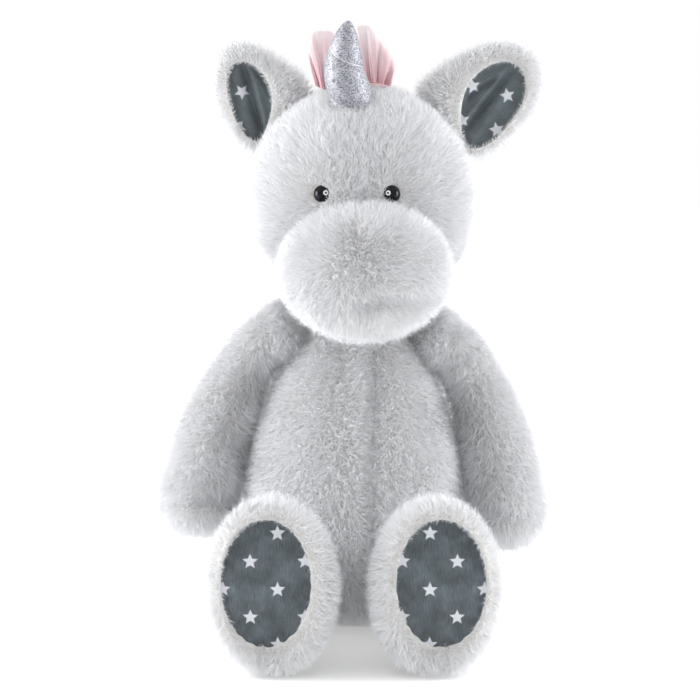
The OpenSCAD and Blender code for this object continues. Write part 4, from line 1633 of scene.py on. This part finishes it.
    def sole_cloth(self) -> tuple[Skin, Array]:
        """The sole's oval cloth, domed by the stuffing and puckered near its seam. With its flat places."""
        s = np.linspace(0.02, 1, 40)[:, None]
        turn = full_turn(160)
        half_x, half_z = self.sole_half[0] + 2 * MM, self.sole_half[2] + 2 * MM
        dome = 2.6 * MM * (1 - s**2)
        pucker = 0.55 * MM * np.sin(23 * turn + 1.1 * np.sin(3 * turn)) * ease(s, 0.72, 0.95)
        x, z = s * half_x * np.cos(turn), s * half_z * np.sin(turn)
        off_fold = z - 0.80 * half_z + 0.004 * np.cos(5 * turn)
        fold = 1.1 * MM * np.exp(-((off_fold / (2.2 * MM)) ** 2)) * (z > 0)
        level = np.stack([x, 0 * x, z], axis=-1).reshape(-1, 3)
        wave = 0.5 * Swirl(26 * MM, 31).value(level).reshape(x.shape) * MM
        y = self.sole_y + 1.6 * MM - dome + pucker - fold + wave * (1 - s)
        skin = lattice(np.stack([x + self.sole[0], y, z + self.sole[2]], axis=-1))
        flat = np.stack([x * self.side.value, z], axis=-1).reshape(-1, 2) / MM
        skin.points, flat = skin.points[:-1], np.concatenate([flat, [[0.0, 0.0]]])
        skin.tris = skin.tris[:len(turn)]
        return skin, flat

    def build(self) -> None:
        """Makes the leg's pieces."""
        word, body = self.side.word, f"{self.side.word}_leg"
        skin = self.skin()
        nodes = [f"{word}_leg_top", f"{word}_leg_bottom"]
        stuffed = self.stuffed(f"{word}_leg_skin", skin, body, nodes, 0.85)
        centre = np.array([0.0, self.hip[1] + 42 * MM, self.hip[2]])
        self.furred(f"{word}_leg_pile", skin, body, self.pile, [inside_ball(centre, 58 * MM)])
        cloth, flat = self.sole_cloth()
        stretched_sheet(f"{word}_sole_print", cloth, flat, body, f"{word}_foot_sole",
                        self.shop.sole_print)


@dataclass
class Horn(Part):
    """The stuffed horn, wound with a pulled thread that makes its rolls.

    Attributes:
        foot_r: radius at its foot.
        turn_share: how much of the horn one turn of thread climbs.
        bend: how far its middle bows to the toy's own right.
        dent: how deep the thread pulls in.
        start: share of the horn at which the thread is in front.
        thread_r: the thread's radius.
    """

    foot_r: float = 14.8 * MM
    turn_share: float = 0.56
    bend: float = 4.2 * MM
    dent: float = 2.2 * MM
    start: float = 0.03
    thread_r: float = 0.34 * MM

    def __post_init__(self) -> None:
        """Reads the horn's ends from the frame: a leaning cone's box gives both of its ends."""
        low, high = node_box("horn_cover")
        core_low, core_high = node_box("horn_core")
        self.top = np.array([low[0] + (high[0] - low[0]) * 0.40, 0.0, high[2] - 0.4 * MM])
        self.top[1] = low[1] + 2.2 * MM
        self.foot = np.array([
            (core_low[0] + core_high[0]) / 2 + 0.2 * MM, core_high[1] - self.foot_r + 1 * MM,
            core_low[2] + 5.5 * MM])

    def line(self, s: Array) -> tuple[Array, Array, Array]:
        """The horn's bowed middle line: straight from foot to top, plus a parabola towards the right.

        Args:
            s: places along the horn, 0 at its foot and 1 at its top.

        Returns:
            The line's points, and the two directions across it.
        """
        axis = self.top - self.foot
        right = unit(np.cross(axis, [0.0, 1.0, 0.0]))
        front = unit(np.cross(axis, right))
        bow = 4 * s * (1 - s)
        return self.foot + s[..., None] * axis + (self.bend * bow)[..., None] * right, right, front

    def turn_at(self, s: Array) -> Array:
        """The thread's angle about the horn: it starts in front and climbs to the toy's own right."""
        return math.pi / 2 - 2 * math.pi * (s - self.start) / self.turn_share

    def radius(self, s: Array, turn: Array) -> Array:
        """A bullet-shaped taper, drawn in along the thread and swelling between its turns."""
        body = self.foot_r * (1 - 0.985 * s**2.1) ** 0.6
        swell = np.abs(np.sin((turn - self.turn_at(s)) / 2)) ** 0.4
        return body + self.dent * (swell - 0.85) * (1 - s**4)

    def build(self) -> None:
        """Makes the horn's cover and its thread."""
        s = np.sin(np.linspace(0, math.pi / 2, 120))[:, None]
        turn = full_turn(96)
        line, right, front = self.line(s[:, 0])
        r = self.radius(s, turn[None])[..., None]
        around = np.cos(turn)[:, None] * right + np.sin(turn)[:, None] * front
        rows = line[:, None, :] + r * around[None]
        skin = lattice(rows[:, ::-1])
        obj = build_mesh("horn_cover_glitter", skin.points, [skin.quads, skin.tris])
        obj.data.materials.append(self.shop.glitter)
        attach(obj, "head")
        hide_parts("horn_cover", "horn_core")
        self.thread(right, front)
        log.info("horn: foot %s, top %s", self.foot, self.top)

    def thread(self, right: Array, front: Array) -> None:
        """The pulled thread: a fine tube that follows the bottom of the horn's spiral groove.

        Args:
            right: the horn's direction to the toy's own right.
            front: its direction to the front.
        """
        s = np.linspace(0.02, 0.93, 300)
        turn = self.turn_at(s)
        r = self.radius(s, turn)
        around = np.cos(turn)[:, None] * right + np.sin(turn)[:, None] * front
        path = self.line(s)[0] + (r + 0.25 * MM)[:, None] * around
        ahead = unit(np.gradient(path, axis=0))
        out = unit(across(around, ahead))
        beside = np.cross(ahead, out)
        ring = full_turn(8)
        thick = self.thread_r * (1 + 0.3 * np.sin(s * 900))[:, None, None]
        rows = path[:, None] + thick * (np.cos(ring)[None, :, None] * out[:, None]
                                        + np.sin(ring)[None, :, None] * beside[:, None])
        skin = lattice(rows)
        obj = build_mesh("horn_pulled_thread", skin.points, [skin.quads, skin.tris])
        obj.data.materials.append(self.shop.thread)
        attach(obj, "head")
        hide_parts("horn_thread")


@dataclass
class ManeLobe(Part):
    """One lobe of the mane: a strip of net folded over into a soft loop and gathered at its sewn end.

    Attributes:
        side: which lobe.
        crest: places along the loop's fold, from the middle of the head outwards, as shares of the
            width and height of the lobe's solid.
        foot: places along the gathered end in the same way.
        folds: how many gathers lie across it.
        inner_size: the inner loop's size, as a share of the outer one's.
    """

    side: Side = Side.LEFT
    crest: tuple[tuple[float, float], ...] = ()
    foot: tuple[tuple[float, float], ...] = ()
    folds: int = 6
    inner_size: float = 0.84

    def line(self, shares: tuple[tuple[float, float], ...], at: Array) -> Array:
        """A smooth line through places that are given as shares of the solid's width and height.

        Args:
            shares: the places, from the middle of the head outwards.
            at: where along the line its points are wanted, 0 to 1.

        Returns:
            Points as x and z.
        """
        low, high = node_box(f"mane_{self.side.word}_lobe")
        knots = np.linspace(0, 1, len(shares))
        x, z = (through(at, knots, [share[i] for share in shares]) for i in range(2))
        inner, outer = (low[0], high[0]) if self.side is Side.LEFT else (high[0], low[0])
        return np.stack([inner + x * (outer - inner), low[2] + z * (high[2] - low[2])], axis=-1)

    def build(self) -> None:
        """Makes the lobe: up the front, round over the crest and down the back.

        Gathers run from the foot to the crest. They are deep at the foot and fade upwards, and the
        loop is thickest across its middle. A second, smaller loop inside it doubles the net.
        """
        word = self.side.word
        low, high = node_box(f"mane_{word}_lobe")
        u = np.linspace(0, 1, 96)[None, :]
        v = np.linspace(0, 1, 64)[:, None]
        climb = np.sin(np.pi * v) ** 0.62
        layers = ((f"mane_{word}_net", 1.0), (f"mane_{word}_inner_net", self.inner_size))
        for layer, (name, size) in enumerate(layers):
            crest, foot = self.line(self.crest, u[0]), self.line(self.foot, u[0])
            flat = foot[None] + climb[:, :, None] * size * (crest - foot)[None]
            thick = (high[1] - low[1]) / 2 * (0.16 + 0.44 * climb) * size * np.sin(np.pi * (0.12 + 0.76 * u))
            phase = 2 * math.pi * self.folds * (u**1.15) + 1.3 * layer
            gather = (0.9 * (1 - climb) + 0.28) * MM * (np.sin(phase) + 0.3 * np.sin(2.3 * phase + 3 * v))
            y = (low[1] + high[1]) / 2 - np.cos(np.pi * v) * thick + gather
            z = flat[:, :, 1] + 0.3 * MM * np.sin(phase) * (1 - climb)
            rows = np.stack([flat[:, :, 0], y, z], axis=-1)
            skin = lattice(rows, wrap=False, closed=False)
            obj = build_mesh(name, skin.points, [skin.quads])
            obj.data.materials.append(self.shop.net)
            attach(obj, "head")
            if layer == 0:
                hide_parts(f"mane_{word}_lobe")
            made = float(np.linalg.norm(skin.spans(), axis=1).sum() / 2)


@dataclass(frozen=True)
class Studio:
    """Plain soft light, a plain pale floor and the camera.

    Attributes:
        aim: what the camera looks at.
        distance: from the camera to that.
        elevation: of the camera above the horizontal, in degrees.
        lens_mm: the lens's focal length.
        dim: brightness of the wall behind the camera, where 1 is the wall behind the toy.
        ceiling: how much brighter the ceiling is than the walls.
        glow: light that the floor gives of its own under and behind the toy.
        fade: distances in front of the frame's middle between which that light fades in, as Y.
        floor_half: half the floor's width.
        lamp_size: width of each softbox.
        lamps: each softbox's name, place and watts.
    """

    aim: tuple[float, float, float] = (0.0, 0.059, 0.1805)
    distance: float = 1.6
    elevation: float = 6.0
    lens_mm: float = 121.7
    dim: float = 0.6
    ceiling: float = 0.26
    glow: float = 0.26
    fade: tuple[float, float] = (-0.5, -0.2)
    floor_half: float = 6.0
    lamp_size: float = 0.8
    lamps: tuple[tuple[str, tuple[float, float, float], float], ...] = (
        ("left_softbox", (-1.3, 0.0, 0.4), 21.0),
        ("right_softbox", (1.3, 0.0, 0.4), 15.0),
    )

    def camera(self) -> None:
        """Makes the camera."""
        data = bpy.data.cameras.new("camera")
        data.lens, data.sensor_width = self.lens_mm, 36.0
        e = math.radians(self.elevation)
        back = Vector((0, -math.cos(e), math.sin(e)))
        obj = bpy.data.objects.new("camera", data)
        obj.location = Vector(self.aim) + back * self.distance
        obj.rotation_mode = "QUATERNION"
        obj.rotation_quaternion = (-back).to_track_quat("-Z", "Y")
        bpy.context.scene.collection.objects.link(obj)
        bpy.context.scene.camera = obj

    def lamp(self, name: str, at: tuple[float, float, float], watts: float) -> None:
        """A soft square lamp that faces the toy's middle.

        Args:
            name: the lamp's name.
            at: its place.
            watts: its power.
        """
        data = bpy.data.lights.new(name, "AREA")
        data.shape, data.size, data.energy = "SQUARE", self.lamp_size, watts
        obj = bpy.data.objects.new(name, data)
        obj.location = at
        obj.rotation_mode = "QUATERNION"
        obj.rotation_quaternion = (Vector(self.aim) - Vector(at)).to_track_quat("-Z", "Y")
        bpy.context.scene.collection.objects.link(obj)

    def build(self) -> None:
        """Makes the floor, the sky, the lamps and the camera."""
        scene = bpy.context.scene
        scene.view_settings.view_transform = "Standard"
        world = bpy.data.worlds.new("studio_walls")
        world.use_nodes = True
        tree = world.node_tree
        way = add_node(tree, "ShaderNodeSeparateXYZ", inputs={
            0: add_node(tree, "ShaderNodeTexCoord").outputs["Generated"]})
        behind = add_node(tree, "ShaderNodeMapRange", inputs={
            "Value": way.outputs[1], "From Min": -1.0, "From Max": 0.0, "To Min": self.dim, "To Max": 1.0})
        above = add_node(tree, "ShaderNodeMapRange", inputs={
            "Value": way.outputs[2], "From Min": 0.1, "From Max": 1.0, "To Min": 0.0, "To Max": self.ceiling})
        walls = add_node(tree, "ShaderNodeMath", {"operation": "ADD"}, {
            0: behind.outputs[0], 1: above.outputs[0]})
        tree.links.new(walls.outputs[0], tree.nodes["Background"].inputs["Strength"])
        tree.nodes["Background"].inputs["Color"].default_value = (1, 1, 1, 1)
        scene.world = world
        half = self.floor_half
        rows = np.array([[[-half, -half, 0], [half, -half, 0]], [[-half, half, 0], [half, half, 0]]], float)
        skin = lattice(rows, wrap=False, closed=False)
        floor = build_mesh("floor", skin.points, [skin.quads])
        paper, nodes, shader = Finish("lit_white_acrylic_floor", "#ececec", 0.9).start()
        place = add_node(nodes, "ShaderNodeSeparateXYZ", inputs={
            0: add_node(nodes, "ShaderNodeTexCoord").outputs["Object"]})
        lit = add_node(nodes, "ShaderNodeMapRange", inputs={
            "Value": place.outputs[1], "From Min": self.fade[0], "From Max": self.fade[1],
            "To Min": 0.0, "To Max": self.glow})
        nodes.links.new(lit.outputs[0], shader.inputs["Emission Strength"])
        floor.data.materials.append(paper)
        for name, at, watts in self.lamps:
            self.lamp(name, at, watts)
        self.camera()


def main() -> None:
    """Builds the toy piece by piece, then the studio."""
    logging.basicConfig(level=logging.INFO, format="%(name)s: %(message)s")
    mane = node_box("mane_left_lobe", "mane_right_lobe")
    shop = Workshop(mane_low=float(mane[0][2]) + 8 * MM, mane_high=float(mane[1][2]) + 4 * MM)
    shop.dress_nodes()
    Studio().build()
    Torso(shop, seed=1).build()
    Head(shop, seed=2).build()
    Ear(shop, seed=3, side=Side.LEFT, tilt=61.0, sunk=5 * MM, star_at=(4.0, 38.0),
        edge=((4, -6), (-10, -9), (-25, -14), (-31, 6), (-32, 28), (-28, 48), (-15, 63), (1, 62),
              (15, 50), (24, 30), (28, 10), (25, -3), (14, -6)),
        opening=((16, -3), (1, 3), (-13, 14), (-20, 28), (-19, 46), (-9, 55), (3, 53), (14, 44),
                 (22, 28), (27, 12), (25, -1))).build()
    Ear(shop, seed=4, side=Side.RIGHT, tilt=38.0, sunk=4 * MM, star_at=(7.0, 23.5),
        edge=((2, -14), (-19, -15), (-28, 4), (-23, 20), (-17, 38), (-8, 50), (3, 49), (13, 40),
              (21, 27), (27, 10), (27, -6), (22, -15), (13, -16)),
        opening=((20, -11), (11, -7), (-2, 2), (-9, 12), (-12, 24), (-9, 36), (0, 43), (9, 38),
                 (17, 26), (24, 10), (25, -5))).build()
    Arm(shop, seed=5, side=Side.LEFT, angle=23.0).build()
    Arm(shop, seed=6, side=Side.RIGHT, angle=28.0).build()
    Leg(shop, seed=7, side=Side.LEFT).build()
    Leg(shop, seed=8, side=Side.RIGHT).build()
    Horn(shop, seed=9).build()
    ManeLobe(shop, seed=10, side=Side.LEFT, folds=4,
             crest=((0.02, 0.70), (0.04, 0.95), (0.25, 1.0), (0.48, 0.95), (0.74, 0.70), (0.97, 0.42),
                    (1.0, 0.25)),
             foot=((0.18, 0.10), (0.52, 0.06), (0.92, 0.0))).build()
    ManeLobe(shop, seed=11, side=Side.RIGHT, folds=3,
             crest=((0.15, 0.75), (0.22, 0.97), (0.50, 1.0), (0.74, 0.99), (0.88, 0.88), (0.93, 0.68),
                    (0.88, 0.45)),
             foot=((0.20, 0.08), (0.45, 0.04), (0.72, 0.12))).build()


if __name__ == "__main__":
    main()
